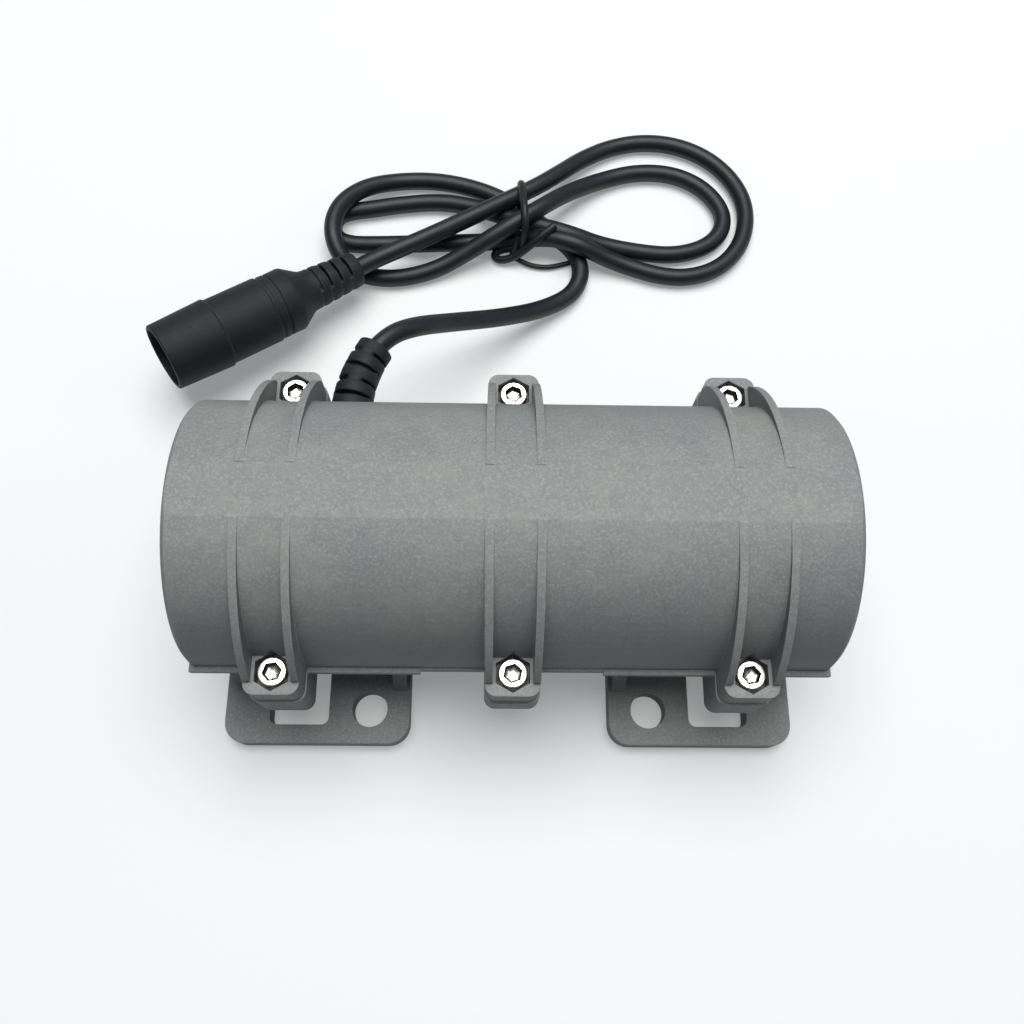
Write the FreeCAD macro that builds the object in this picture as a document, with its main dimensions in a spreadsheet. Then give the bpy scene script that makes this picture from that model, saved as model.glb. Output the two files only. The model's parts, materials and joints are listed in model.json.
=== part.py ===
import FreeCAD, Part
import math
import operator
import os
from types import SimpleNamespace

import Sketcher
from FreeCAD import Placement, Rotation, Vector

# Vibration motor: a 36 x 50 mm dual-shaft motor with two eccentric weights, clamped in a
# nylon barrel of two halves on foot plates.
# Frame: origin on the floor under the barrel's middle, +X along the shaft, +Z up, the cord
# leaves towards +Y. Millimetres.

SIZES = [
    # barrel
    ("shell_radius", 25.0, "outer radius of the barrel"),
    ("shell_length", 116.0, "overall length of the barrel"),
    ("shell_wall", 2.6, "wall of the barrel"),
    ("end_wall", 3.0, "thickness of the closed ends"),
    ("end_chamfer", 0.8, "edge break round the ends"),
    ("axis_height", 26.25, "shaft axis above the floor; the halves part here"),
    ("label_half_width", 4.8, "half width of the flat along the top"),
    # clamping lugs
    ("lug_spacing", 41.8, "outer lugs from the middle one"),
    ("lug_width", 9.7, "lug along the shaft"),
    ("lug_stand_out", 5.95, "upper lugs stand out past the barrel"),
    ("lug_height", 6.2, "upper lug above the parting plane"),
    ("lug_corner", 2.0, "corner radius of the lugs"),
    ("lug_rooting", 1.6, "lugs start this deep inside the barrel's wall"),
    ("lug_step", 0.4, "lower lugs stand out past the upper ones"),
    ("outer_lug_depth", 10.2, "outer lower lugs below the parting plane"),
    ("middle_lug_depth", 6.4, "middle lower lug below the parting plane"),
    # ribs over each pair of lugs
    ("rib_inner", 3.55, "inner faces of a rib pair from the screw"),
    ("rib_stand_out", 3.7, "ribs end on the lug this far past the barrel"),
    ("rib_tip_inset", 0.25, "ribs narrow by this at the lug"),
    ("crest_stand_out", 4.1, "crest arc would meet the lug top this far past the barrel"),
    # clamp screws and nuts, M3
    ("screw_stand_out", 1.9, "screw rows outside the barrel"),
    ("thread_radius", 1.5, "M3 shank"),
    ("screw_clearance", 0.2, "screw hole round the shank"),
    ("head_radius", 2.75, "M3 cap head"),
    ("head_height", 3.0, "M3 cap head"),
    ("head_chamfer", 0.3, "edge of the cap head"),
    ("key_flats", 2.5, "hexagon socket across flats"),
    ("key_depth", 1.5, "hexagon socket depth"),
    ("screw_length", 10.0, "M3 shank under the head"),
    ("head_pocket_flats", 5.95, "hexagonal pocket round the head"),
    ("head_seat", 3.1, "pocket floor above the parting plane"),
    ("nut_flats", 5.5, "M3 nut across flats"),
    ("nut_height", 2.4, "M3 nut"),
    ("nut_fit", 0.1, "nut trap round the nut, each side"),
    ("nut_seat", 3.6, "nut trap roof below the parting plane"),
    # lip of the lower half
    ("thin_lip", 0.45, "lip past the barrel between the feet"),
    ("thick_lip", 1.0, "lip past the barrel over the feet"),
    ("lip_height", 1.5, "height of the lip"),
    ("thick_lip_start", 16.6, "thick lip starts here"),
    # feet
    ("foot_inner", 19.95, "foot plate, inner end"),
    ("foot_outer", 56.4, "foot plate, outer end"),
    ("foot_reach", 36.25, "foot plate, outer edge from the middle"),
    ("foot_thickness", 4.55, "foot plate"),
    ("foot_corner", 4.2, "corner radius of the plate"),
    ("foot_hole_x", 27.85, "mounting hole from the middle"),
    ("foot_hole_edge", 6.75, "mounting hole from the plate's outer edge"),
    ("foot_hole_radius", 3.5, "mounting hole for M6"),
    ("window_half_width", 5.85, "nut window under each outer lug"),
    ("window_depth", 8.3, "nut window, from the screws inwards"),
    ("window_edge", 3.65, "nut window, outer edge from the plate's edge"),
    ("window_corner", 1.5, "nut window corners"),
    ("gusset_width", 2.6, "webs from the plate to the barrel"),
    ("gusset_toe_out", 0.9, "web meets the plate this far past the barrel"),
    ("gusset_top", 9.6, "web meets the barrel, above the plate"),
    ("gusset_top_in", 4.0, "web meets the barrel this far inside its width"),
    ("gusset_inset", 0.7, "inner web from the plate's inner end"),
    ("outer_gusset", 52.8, "outer web from the middle"),
    # motor seat in the barrel
    ("motor_radius", 18.0, "motor case"),
    ("motor_length", 50.0, "motor case over both bells"),
    ("seat_fit", 0.02, "seat round the motor, each side"),
    ("seat_start", 9.0, "seat rings from the middle"),
    ("seat_width", 7.0, "seat rings"),
    ("stop_gap", 0.05, "end stops from the motor"),
    ("stop_width", 2.4, "end stop walls"),
    ("stop_bore", 14.0, "end stop walls, inner radius"),
    # motor case
    ("can_wall", 1.0, "steel tube of the motor"),
    ("bell_rim", 5.0, "rim of a bell past the tube"),
    ("spigot_depth", 3.0, "bell spigot inside the tube"),
    ("spigot_wall", 1.4, "bell spigot"),
    ("bell_web", 3.0, "web of a bell"),
    ("hub_radius", 10.5, "bearing hub of a bell"),
    ("shaft_hole", 4.5, "hole in a bell for the shaft, radius"),
    ("lead_row", 13.0, "leads from the shaft axis"),
    ("lead_hole", 2.0, "lead hole in the left bell, radius"),
    # bearings, 5 x 16 x 5
    ("bearing_bore", 2.5, "inner race bore radius"),
    ("bearing_radius", 8.0, "outer race radius"),
    ("bearing_width", 5.0, "bearing width"),
    ("bearing_inner_face", 16.2, "inner side of each bearing from the middle"),
    ("inner_race_radius", 4.1, "inner race outside"),
    ("outer_race_bore", 6.3, "outer race inside"),
    ("ball_radius", 1.45, "ball"),
    ("ball_pitch", 5.2, "ball circle radius"),
    ("ball_play", 0.05, "groove round the ball"),
    ("cage_half_width", 2.1, "cage"),
    ("cage_half_wall", 0.6, "cage, half its wall"),
    ("press_gap", 0.01, "clearance of pressed or bonded seats"),
    ("preload_gap", 0.5, "wave washer behind the right bearing"),
    # rotor
    ("shaft_body_radius", 3.5, "shaft between the bearings"),
    ("shaft_overall", 101.0, "shaft over both ends"),
    ("circlip_gap", 0.1, "circlip from the inner race"),
    ("circlip_width", 0.6, "circlip"),
    ("circlip_radius", 3.9, "circlip outside"),
    ("groove_depth", 0.4, "circlip groove"),
    ("core_half_length", 10.0, "stator and rotor cores"),
    ("rotor_core_radius", 6.5, "rotor laminations"),
    ("magnet_radius", 9.0, "magnets outside"),
    ("magnet_angle", 80.0, "arc of each of four magnets"),
    # stator
    ("air_gap", 0.3, "magnets to the stator teeth"),
    ("shoe_depth", 1.0, "tooth shoe"),
    ("shoe_angle", 46.0, "tooth shoe arc"),
    ("tooth_width", 4.0, "tooth"),
    ("yoke_depth", 2.4, "stator ring"),
    ("coil_depth", 3.4, "winding, radial"),
    ("coil_side", 1.8, "winding beside the tooth"),
    ("coil_overhang", 2.0, "winding past the core end"),
    ("insulator_width", 1.0, "end insulator"),
    ("insulator_inset", 0.2, "end insulator from the motor tube"),
    ("post_length", 2.2, "posts that carry the driver board"),
    ("post_radius", 1.0, "posts that carry the driver board"),
    ("board_radius", 16.2, "driver board"),
    ("board_bore", 6.0, "driver board"),
    ("board_thickness", 1.2, "driver board"),
    ("chip_height", 1.4, "tallest part on the board"),
    # eccentric weights
    ("weight_radius", 19.5, "half-round weight"),
    ("weight_start", 34.0, "weight from the middle"),
    ("weight_width", 15.5, "weight along the shaft"),
    ("weight_hub_radius", 8.0, "hub on the light side"),
    ("grub_radius", 2.0, "M4 grub screw"),
    ("grub_length", 5.0, "M4 grub screw"),
    ("grub_key_flats", 2.0, "grub screw socket"),
    ("flat_depth", 0.5, "flat on the shaft under the grub screw"),
    ("flat_length", 6.0, "flat on the shaft under the grub screw"),
    # cord, strain relief and leads
    ("cord_radius", 2.05, "cord"),
    ("lead_radius", 0.65, "inner leads"),
    ("lead_split", 0.9, "each lead from the parting plane"),
    ("gland_x", -31.8, "strain relief along the barrel"),
    ("gland_neck", 3.4, "strain relief in the wall, radius"),
    ("gland_flange_radius", 4.1, "flange inside the wall"),
    ("gland_flange_width", 1.3, "flange inside the wall"),
    ("gland_flange_gap", 0.25, "flange from the wall's inner side"),
    ("gland_radius", 4.0, "strain relief outside, first ring"),
    ("gland_taper", 0.1, "each ring smaller by"),
    ("gland_bend_radius", 27.75, "curve of the strain relief"),
    ("gland_bend_angle", 32.0, "curve of the strain relief, degrees"),
    ("gland_core", 2.7, "strain relief between the rings, radius"),
    ("gland_web", 2.4, "webs between the rings"),
    ("ring_share", 0.7, "ring thickness over ring pitch"),
    ("soft_gap", 0.3, "free cord parts from their neighbours"),
    # connector
    ("sleeve_radius", 7.8, "connector front sleeve"),
    ("sleeve_length", 13.0, "connector front sleeve"),
    ("sleeve_bore", 6.5, "socket mouth"),
    ("socket_depth", 11.0, "socket mouth"),
    ("body_radius", 7.4, "connector body"),
    ("body_length", 12.1, "connector body"),
    ("boot_length", 23.05, "rear boot, behind the body"),
    ("insert_bore", 5.9, "seat of the socket insert, behind the mouth"),
    ("insert_recess", 0.2, "insert behind the mouth's shoulder"),
    ("core_length", 12.0, "socket insert"),
    ("jack_radius", 2.8, "socket for a 5.5 mm plug"),
    ("jack_depth", 9.0, "socket for a 5.5 mm plug"),
    ("pin_radius", 1.05, "centre pin for a 2.1 mm bore"),
    ("pin_back_off", 1.0, "pin tip behind the insert's face"),
    ("contact_wall", 0.3, "sleeve contact"),
    ("connector_yaw", 35.77, "connector turned on the floor, degrees"),
    ("connector_tilt", 8.92, "mouth held up by the cord, degrees"),
    ("connector_mouth_x", -74.2, "mouth centre"),
    ("connector_mouth_y", 42.5, "mouth centre"),
    ("connector_mouth_z", 15.6, "mouth centre"),
    # cord bundle and its tie
    ("waist_height", 10.4, "cords gathered in the tie"),
    ("waist_half_width", 6.5, "gathered stretch to each side of the tie"),
    ("tie_radius", 0.85, "wire of the tie"),
    ("tie_x", 2.6, "tie along the bundle"),
    ("waist_front", 80.0, "bundle in the tie, near side"),
    ("waist_back", 93.6, "bundle in the tie, far side"),
]

doc = FreeCAD.newDocument("vibration_motor")
sheet = doc.addObject("Spreadsheet::Sheet", "Sizes")


class Size:
    """A length together with the sheet expression that gives it."""

    def __init__(self, value, text):
        self.value = float(value)
        self.text = text

    def combine(self, other, sign, act):
        other = as_size(other)
        return Size(act(self.value, other.value), f"({self.text} {sign} {other.text})")

    def __add__(self, other):
        return self.combine(other, "+", operator.add)

    def __radd__(self, other):
        return as_size(other) + self

    def __sub__(self, other):
        return self.combine(other, "-", operator.sub)

    def __rsub__(self, other):
        return as_size(other) - self

    def __mul__(self, other):
        return self.combine(other, "*", operator.mul)

    def __rmul__(self, other):
        return as_size(other) * self

    def __truediv__(self, other):
        return self.combine(other, "/", operator.truediv)

    def __neg__(self):
        return as_size(0) - self


def as_size(number):
    return number if isinstance(number, Size) else Size(number, f"({float(number):.9g})")


def root(size):
    return Size(math.sqrt(size.value), f"sqrt({size.text})")


def cosine(degrees):
    return Size(math.cos(math.radians(degrees.value)), f"cos({degrees.text})")


def sine(degrees):
    return Size(math.sin(math.radians(degrees.value)), f"sin({degrees.text})")


def fill_sheet():
    for row, (name, value, meaning) in enumerate(SIZES, 1):
        sheet.set(f"A{row}", name)
        sheet.set(f"B{row}", str(value))
        sheet.setAlias(f"B{row}", name)
        sheet.set(f"C{row}", meaning)
    doc.recompute()
    return SimpleNamespace(**{name: Size(value, f"Sizes.{name}") for name, value, _ in SIZES})


s = fill_sheet()

# Sizes that follow from the sheet.
half_length = s.shell_length / 2
bore_radius = s.shell_radius - s.shell_wall
chamber_end = half_length - s.end_wall
label_height = root(s.shell_radius * s.shell_radius - s.label_half_width * s.label_half_width)
half_lug = s.lug_width / 2
lug_reach = s.shell_radius + s.lug_stand_out
lower_lug_reach = lug_reach + s.lug_step
lug_root = s.shell_radius - s.lug_rooting
rib_end = s.shell_radius + s.rib_stand_out
screw_row = s.shell_radius + s.screw_stand_out
foot_hole_y = s.foot_reach - s.foot_hole_edge
window_inner = screw_row - s.window_depth
window_outer = s.foot_reach - s.window_edge
gusset_toe = s.shell_radius + s.gusset_toe_out
gusset_top_reach = s.shell_radius - s.gusset_top_in
half_motor = s.motor_length / 2
can_end = half_motor - s.bell_rim
can_bore = s.motor_radius - s.can_wall
stator_bore = s.magnet_radius + s.air_gap
bearing_outer_face = s.bearing_inner_face + s.bearing_width
bearing_middle = s.bearing_inner_face + s.bearing_width / 2
half_shaft = s.shaft_overall / 2
weight_end = s.weight_start + s.weight_width
grub_x = s.weight_start + s.weight_width / 2
connector_length = s.sleeve_length + s.body_length + s.boot_length

TURN_Y = Rotation(Vector(0, 1, 0), 90)       # a cylinder's axis along +X
TURN_X = Rotation(Vector(1, 0, 0), -90)      # a cylinder's axis along +Y
UPRIGHT = Rotation(Vector(1, 0, 0), 90)      # a sketch in the XZ plane
SIDES = (1, -1)
TEETH = 6
BALLS = 7


def bind(thing, prop, size):
    thing.setExpression(prop, as_size(size).text)


def place(thing, x=0, y=0, z=0, turn=None):
    """Put a feature at a bound position, turned by a fixed rotation."""
    thing.Placement = Placement(Vector(), turn or Rotation())
    for letter, size in (("x", x), ("y", y), ("z", z)):
        bind(thing, f"Placement.Base.{letter}", size)
    return thing


def box(name, size_x, size_y, size_z, x=0, y=0, z=0, turn=None):
    """A box centred on x and y, standing on z."""
    made = doc.addObject("Part::Box", name)
    for prop, size in (("Length", size_x), ("Width", size_y), ("Height", size_z)):
        bind(made, prop, size)
    half_x, half_y = as_size(size_x) / 2, as_size(size_y) / 2
    return place(made, x - half_x, y - half_y, z, turn)


def cylinder(name, radius, height, x=0, y=0, z=0, turn=None):
    made = doc.addObject("Part::Cylinder", name)
    bind(made, "Radius", radius)
    bind(made, "Height", height)
    return place(made, x, y, z, turn)


def hexagon(name, flats, height, x=0, y=0, z=0, turn=None):
    made = doc.addObject("Part::Prism", name)
    made.Polygon = 6
    bind(made, "Circumradius", flats / math.sqrt(3))
    bind(made, "Height", height)
    return place(made, x, y, z, turn)


def cut(name, base, *tools):
    made = doc.addObject("Part::Cut", name)
    made.Base = base
    made.Tool = tools[0] if len(tools) == 1 else joined(name + "_tools", *tools)
    return made


def joined(name, *parts):
    made = doc.addObject("Part::MultiFuse", name)
    made.Shapes = list(parts)
    made.Refine = True
    return made


def group(name, *parts):
    made = doc.addObject("Part::Compound", name)
    made.Links = list(parts)
    return made


def draw(sketch, corners):
    """Add a closed outline. Each corner is (x, y) or (x, y, radius), bound to the sheet."""
    corners = [tuple(as_size(size) for size in corner) for corner in corners]
    spots = [Vector(corner[0].value, corner[1].value) for corner in corners]
    entries, exits, arcs = [], [], []
    for index, corner in enumerate(corners):
        before = (spots[index - 1] - spots[index]).normalize()
        after = (spots[(index + 1) % len(spots)] - spots[index]).normalize()
        if len(corner) == 2:
            entries.append(spots[index])
            exits.append(spots[index])
            arcs.append(None)
            continue
        half_angle = before.getAngle(after) / 2
        reach = corner[2].value / math.tan(half_angle)
        bisector = (before + after).normalize()
        centre = spots[index] + bisector * (corner[2].value / math.sin(half_angle))
        entries.append(spots[index] + before * reach)
        exits.append(spots[index] + after * reach)
        middle = centre - bisector * corner[2].value
        arcs.append(Part.Arc(entries[-1], middle, exits[-1]))

    count = len(corners)
    lines = [sketch.addGeometry(Part.LineSegment(exits[i], entries[(i + 1) % count]))
             for i in range(count)]
    for index, corner in enumerate(corners):
        incoming, outgoing = lines[index - 1], lines[index]
        if arcs[index] is None:
            sketch.addConstraint(Sketcher.Constraint("Coincident", incoming, 2, outgoing, 1))
            spot = (outgoing, 1)
        else:
            arc = sketch.addGeometry(arcs[index])
            start, end = (1, 2)
            if (sketch.getPoint(arc, 1) - entries[index]).Length > 1e-6:
                start, end = (2, 1)
            sketch.addConstraint(Sketcher.Constraint("Tangent", incoming, 2, arc, start))
            sketch.addConstraint(Sketcher.Constraint("Tangent", arc, end, outgoing, 1))
            bound = sketch.addConstraint(Sketcher.Constraint("Radius", arc, corner[2].value))
            sketch.setExpression(f"Constraints[{bound}]", corner[2].text)
            point = sketch.addGeometry(Part.Point(spots[index]), True)
            sketch.addConstraint(Sketcher.Constraint("PointOnObject", point, 1, incoming))
            sketch.addConstraint(Sketcher.Constraint("PointOnObject", point, 1, outgoing))
            spot = (point, 1)
        for kind, size in (("DistanceX", corner[0]), ("DistanceY", corner[1])):
            bound = sketch.addConstraint(Sketcher.Constraint(kind, *spot, size.value))
            sketch.setExpression(f"Constraints[{bound}]", size.text)


def draw_circle(sketch, x, y, radius):
    x, y, radius = as_size(x), as_size(y), as_size(radius)
    circle = sketch.addGeometry(Part.Circle(Vector(x.value, y.value), Vector(0, 0, 1), radius.value))
    for kind, where, size in (("DistanceX", (circle, 3), x), ("DistanceY", (circle, 3), y),
                              ("Radius", (circle,), radius)):
        bound = sketch.addConstraint(Sketcher.Constraint(kind, *where, size.value))
        sketch.setExpression(f"Constraints[{bound}]", size.text)


def hexagon_corners(x, y, flats):
    """Corners of a hexagon whose points face front and back."""
    return [(x + flats / math.sqrt(3) * math.sin(math.radians(60 * step)),
             y + flats / math.sqrt(3) * math.cos(math.radians(60 * step))) for step in range(6)]


def rectangle(x, y, half_x, half_y, corner=None):
    """Corners of a rectangle centred on x and y."""
    spots = [(x - half_x, y - half_y), (x + half_x, y - half_y),
             (x + half_x, y + half_y), (x - half_x, y + half_y)]
    return [spot + (corner,) for spot in spots] if corner else spots


def turned(name, outline, x=0, y=0, z=None, turn=None):
    """Revolve an outline of (along the axis, radius) corners round the X axis."""
    sketch = doc.addObject("Sketcher::SketchObject", name + "_outline")
    sketch.Placement = Placement(Vector(), UPRIGHT)
    draw(sketch, outline)
    made = doc.addObject("Part::Revolution", name)
    made.Source = sketch
    made.Axis = Vector(1, 0, 0)
    made.Angle = 360
    made.Solid = True
    return place(made, x, y, s.axis_height if z is None else z, turn)


def mirrored_outline(outline):
    """The same turned outline on the other side of the middle."""
    return [(-corner[0],) + tuple(corner[1:]) for corner in outline]


# ---------------------------------------------------------------- bodies with sketches

def new_body(name):
    body = doc.addObject("PartDesign::Body", name)
    return place(body, z=s.axis_height)


def body_sketch(body, name, plane, lift=0):
    """A sketch on one of the body's own planes, raised along its normal."""
    sketch = body.newObject("Sketcher::SketchObject", name)
    origin = next(o for o in body.Origin.OriginFeatures if o.Role == plane)
    sketch.AttachmentSupport = [(origin, "")]
    sketch.MapMode = "FlatFace"
    bind(sketch, "AttachmentOffset.Base.z", lift)
    return sketch


def pad(body, sketch, length, both_ways=False, downwards=False):
    made = body.newObject("PartDesign::Pad", sketch.Name + "_pad")
    made.Profile = sketch
    bind(made, "Length", length)
    made.Midplane = both_ways
    made.Reversed = downwards
    return made


def pocket(body, sketch, length=None, both_ways=False, upwards=False):
    """Cut a sketch out of the body: downwards from the sketch, or upwards, or both ways."""
    made = body.newObject("PartDesign::Pocket", sketch.Name + "_cut")
    made.Profile = sketch
    if length is None:
        made.Type = "ThroughAll"
    else:
        bind(made, "Length", length)
    made.Midplane = both_ways
    made.Reversed = upwards
    return made


def cavity_outline():
    """Inside of the barrel: motor seat rings, end stops and a chamber for each weight."""
    seat = s.motor_radius + s.seat_fit
    stop = half_motor + s.stop_gap
    right = [(s.seat_start, bore_radius), (s.seat_start, seat),
             (s.seat_start + s.seat_width, seat), (s.seat_start + s.seat_width, bore_radius),
             (stop, bore_radius), (stop, s.stop_bore),
             (stop + s.stop_width, s.stop_bore), (stop + s.stop_width, bore_radius),
             (chamber_end, bore_radius)]
    left = [(-x, radius) for x, radius in reversed(right)]
    return [(-chamber_end, as_size(0))] + left + right + [(chamber_end, as_size(0))]


def barrel(body, upper):
    """Half of the closed barrel, turned round the shaft axis."""
    sketch = body_sketch(body, body.Name + "_barrel", "XZ_Plane")
    way = 1 if upper else -1
    draw(sketch, [(-half_length, as_size(0)),
                  (-half_length, way * (s.shell_radius - s.end_chamfer)),
                  (-half_length + s.end_chamfer, way * s.shell_radius),
                  (half_length - s.end_chamfer, way * s.shell_radius),
                  (half_length, way * (s.shell_radius - s.end_chamfer)),
                  (half_length, as_size(0))])
    made = body.newObject("PartDesign::Revolution", body.Name + "_turned")
    made.Profile = sketch
    made.ReferenceAxis = (sketch, ["H_Axis"])
    made.Angle = 180
    made.Midplane = True


def hollow(body, upper):
    """Clear the motor seat, the weight chambers and the way in of the strain relief."""
    sketch = body_sketch(body, body.Name + "_cavity", "XZ_Plane")
    way = 1 if upper else -1
    draw(sketch, [(x, way * radius) for x, radius in cavity_outline()])
    made = body.newObject("PartDesign::Groove", body.Name + "_hollow")
    made.Profile = sketch
    made.ReferenceAxis = (sketch, ["H_Axis"])
    made.Angle = 360
    entry = body_sketch(body, body.Name + "_entry", "XZ_Plane")
    draw_circle(entry, s.gland_x, 0, s.gland_neck + s.press_gap)
    pocket(body, entry, half_length, upwards=False)


def screw_places():
    return [(column * s.lug_spacing, side * screw_row)
            for column in (-1, 0, 1) for side in SIDES]


def drill_screws(body, upper):
    holes = body_sketch(body, body.Name + "_screw_holes", "XY_Plane")
    for x, y in screw_places():
        draw_circle(holes, x, y, s.thread_radius + s.screw_clearance)
    pocket(body, holes, s.outer_lug_depth + s.lug_height, upwards=upper)


def upper_shell():
    body = new_body("upper_shell")
    barrel(body, True)
    flat = body_sketch(body, "label_flat", "XY_Plane", label_height)
    draw(flat, rectangle(as_size(0), as_size(0), half_length, s.shell_radius / 2))
    pocket(body, flat, s.shell_radius, upwards=True)

    # Two ribs over each lug, under one crest arc that runs from lug to lug.
    ribs = body_sketch(body, "rib_plan", "XY_Plane")
    for column in (-1, 0, 1):
        for side in SIDES:
            for edge in SIDES:
                middle = column * s.lug_spacing
                draw(ribs, [(middle + edge * s.rib_inner, side * s.label_half_width),
                            (middle + edge * (half_lug + s.rib_tip_inset),
                             side * s.label_half_width),
                            (middle + edge * half_lug, side * rib_end),
                            (middle + edge * s.rib_inner, side * rib_end)])
    pad(body, ribs, s.shell_radius)
    crown = body_sketch(body, "rib_crest", "YZ_Plane")
    draw_crown(crown)
    pocket(body, crown, both_ways=True)

    lugs = body_sketch(body, "upper_lugs", "XY_Plane")
    draw_lugs(lugs, lug_reach, half_lug, (-1, 0, 1))
    pad(body, lugs, s.lug_height)

    heads = body_sketch(body, "head_pockets", "XY_Plane", s.head_seat)
    for x, y in screw_places():
        draw(heads, hexagon_corners(x, y, s.head_pocket_flats))
    pocket(body, heads, s.shell_radius, upwards=True)
    drill_screws(body, True)
    hollow(body, True)
    return body


def draw_crown(sketch):
    """Everything above the ribs' crest arc, which touches the top of the barrel's circle."""
    lift, radius = s.lug_height, s.shell_radius
    foot = radius + s.crest_stand_out
    drop = (foot * foot + lift * lift - radius * radius) / (2 * (radius - lift))
    crest = radius + drop
    reach = foot + 1
    side_height = root(crest * crest - reach * reach) - drop
    top = radius + lift
    left, right = Vector(-reach.value, side_height.value), Vector(reach.value, side_height.value)
    arc = sketch.addGeometry(Part.Arc(left, Vector(0, radius.value), right))
    corners = [right, Vector(reach.value, top.value), Vector(-reach.value, top.value), left]
    first, second = (2, 1) if (sketch.getPoint(arc, 1) - left).Length < 1e-6 else (1, 2)
    lines = [sketch.addGeometry(Part.LineSegment(a, b)) for a, b in zip(corners, corners[1:])]
    add = sketch.addConstraint
    add(Sketcher.Constraint("Coincident", arc, first, lines[0], 1))
    add(Sketcher.Constraint("Coincident", lines[0], 2, lines[1], 1))
    add(Sketcher.Constraint("Coincident", lines[1], 2, lines[2], 1))
    add(Sketcher.Constraint("Coincident", lines[2], 2, arc, second))
    for kind, where, size in (("Radius", (arc,), crest),
                              ("DistanceX", (lines[0], 1), reach),
                              ("DistanceY", (lines[0], 1), side_height),
                              ("DistanceX", (lines[1], 1), reach),
                              ("DistanceY", (lines[1], 1), top),
                              ("DistanceX", (lines[2], 1), -reach),
                              ("DistanceY", (lines[2], 1), top),
                              ("DistanceX", (lines[2], 2), -reach),
                              ("DistanceY", (lines[2], 2), side_height)):
        bound = add(Sketcher.Constraint(kind, *where, size.value))
        sketch.setExpression(f"Constraints[{bound}]", size.text)


def draw_lugs(sketch, reach, half_width, columns):
    """Clamping lugs with rounded outer corners, rooted in the barrel's wall."""
    for column in columns:
        for side in SIDES:
            middle = as_size(column * s.lug_spacing)
            draw(sketch, [(middle - half_width, side * lug_root),
                          (middle + half_width, side * lug_root),
                          (middle + half_width, side * reach, s.lug_corner),
                          (middle - half_width, side * reach, s.lug_corner)])


def lower_shell():
    body = new_body("lower_shell")
    barrel(body, False)
    lip_outline(body)
    for name, columns, depth in (("outer_lower_lugs", (-1, 1), s.outer_lug_depth),
                                 ("middle_lower_lugs", (0,), s.middle_lug_depth)):
        lugs = body_sketch(body, name, "XY_Plane")
        draw_lugs(lugs, lower_lug_reach, half_lug + s.lug_step / 2, columns)
        pad(body, lugs, depth, downwards=True)
    feet(body)

    traps = body_sketch(body, "nut_traps", "XY_Plane", -s.nut_seat)
    for x, y in screw_places():
        draw(traps, hexagon_corners(x, y, s.nut_flats + 2 * s.nut_fit))
    pocket(body, traps, s.outer_lug_depth)
    drill_screws(body, False)
    hollow(body, False)
    relief = body_sketch(body, "gland_notch", "XZ_Plane", -s.shell_radius)
    draw_circle(relief, s.gland_x, 0, s.gland_radius + s.soft_gap)
    pocket(body, relief, s.thick_lip + 1)
    return body


def lip_outline(body):
    """The rim that stands out under the parting plane, thicker over the feet."""
    lip = body_sketch(body, "lip_plan", "XY_Plane")
    thin = s.shell_radius + s.thin_lip
    thick = s.shell_radius + s.thick_lip
    for side in SIDES:
        start, inner = s.thick_lip_start, side * lug_root
        draw(lip, [(-half_length, inner), (half_length, inner), (half_length, side * thick),
                   (start, side * thick), (start, side * thin), (-start, side * thin),
                   (-start, side * thick), (-half_length, side * thick)])
    pad(body, lip, s.lip_height, downwards=True)


def feet(body):
    floor = -s.axis_height
    plates = body_sketch(body, "foot_plan", "XY_Plane", floor)
    middle = (s.foot_inner + s.foot_outer) / 2
    half_width = (s.foot_outer - s.foot_inner) / 2
    for end in SIDES:
        draw(plates, rectangle(end * middle, as_size(0), half_width, s.foot_reach, s.foot_corner))
        for side in SIDES:
            draw_circle(plates, end * s.foot_hole_x, side * foot_hole_y, s.foot_hole_radius)
            window_middle = (window_inner + window_outer) / 2
            draw(plates, rectangle(end * s.lug_spacing, side * window_middle,
                                   s.window_half_width, (window_outer - window_inner) / 2,
                                   s.window_corner))
    pad(body, plates, s.foot_thickness)

    plate_top = s.foot_thickness - s.axis_height
    inner_gusset = s.foot_inner + s.gusset_inset + s.gusset_width / 2
    for number, where in enumerate((-s.outer_gusset, -inner_gusset, inner_gusset, s.outer_gusset)):
        web = body_sketch(body, f"gusset_{number}", "YZ_Plane", where)
        for side in SIDES:
            draw(web, [(side * window_inner, plate_top - s.foot_thickness / 2),
                       (side * gusset_toe, plate_top - s.foot_thickness / 2),
                       (side * gusset_toe, plate_top),
                       (side * gusset_top_reach, plate_top + s.gusset_top),
                       (side * window_inner, plate_top + s.gusset_top)])
        pad(body, web, s.gusset_width, both_ways=True)


# ---------------------------------------------------------------- clamp screws and nuts

def clamp_screws():
    screws = []
    for number, (x, y) in enumerate(screw_places(), 1):
        seat = s.axis_height + s.head_seat
        top = s.head_height - s.head_chamfer
        body = doc.addObject("PartDesign::Body", f"clamp_screw_{number}")
        place(body, x, y, seat)
        outline = body_sketch(body, f"screw_outline_{number}", "XZ_Plane")
        draw(outline, [(as_size(0), -s.screw_length), (s.thread_radius, -s.screw_length),
                       (s.thread_radius, as_size(0)), (s.head_radius, as_size(0)),
                       (s.head_radius, top), (s.head_radius - s.head_chamfer, s.head_height),
                       (as_size(0), s.head_height)])
        made = body.newObject("PartDesign::Revolution", f"screw_turned_{number}")
        made.Profile = outline
        made.ReferenceAxis = (outline, ["V_Axis"])
        made.Angle = 360
        key = body_sketch(body, f"screw_key_{number}", "XY_Plane", s.head_height)
        draw(key, hexagon_corners(as_size(0), as_size(0), s.key_flats))
        pocket(body, key, s.key_depth)
        screws.append(body)
    return group("clamp_screws", *screws)


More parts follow.
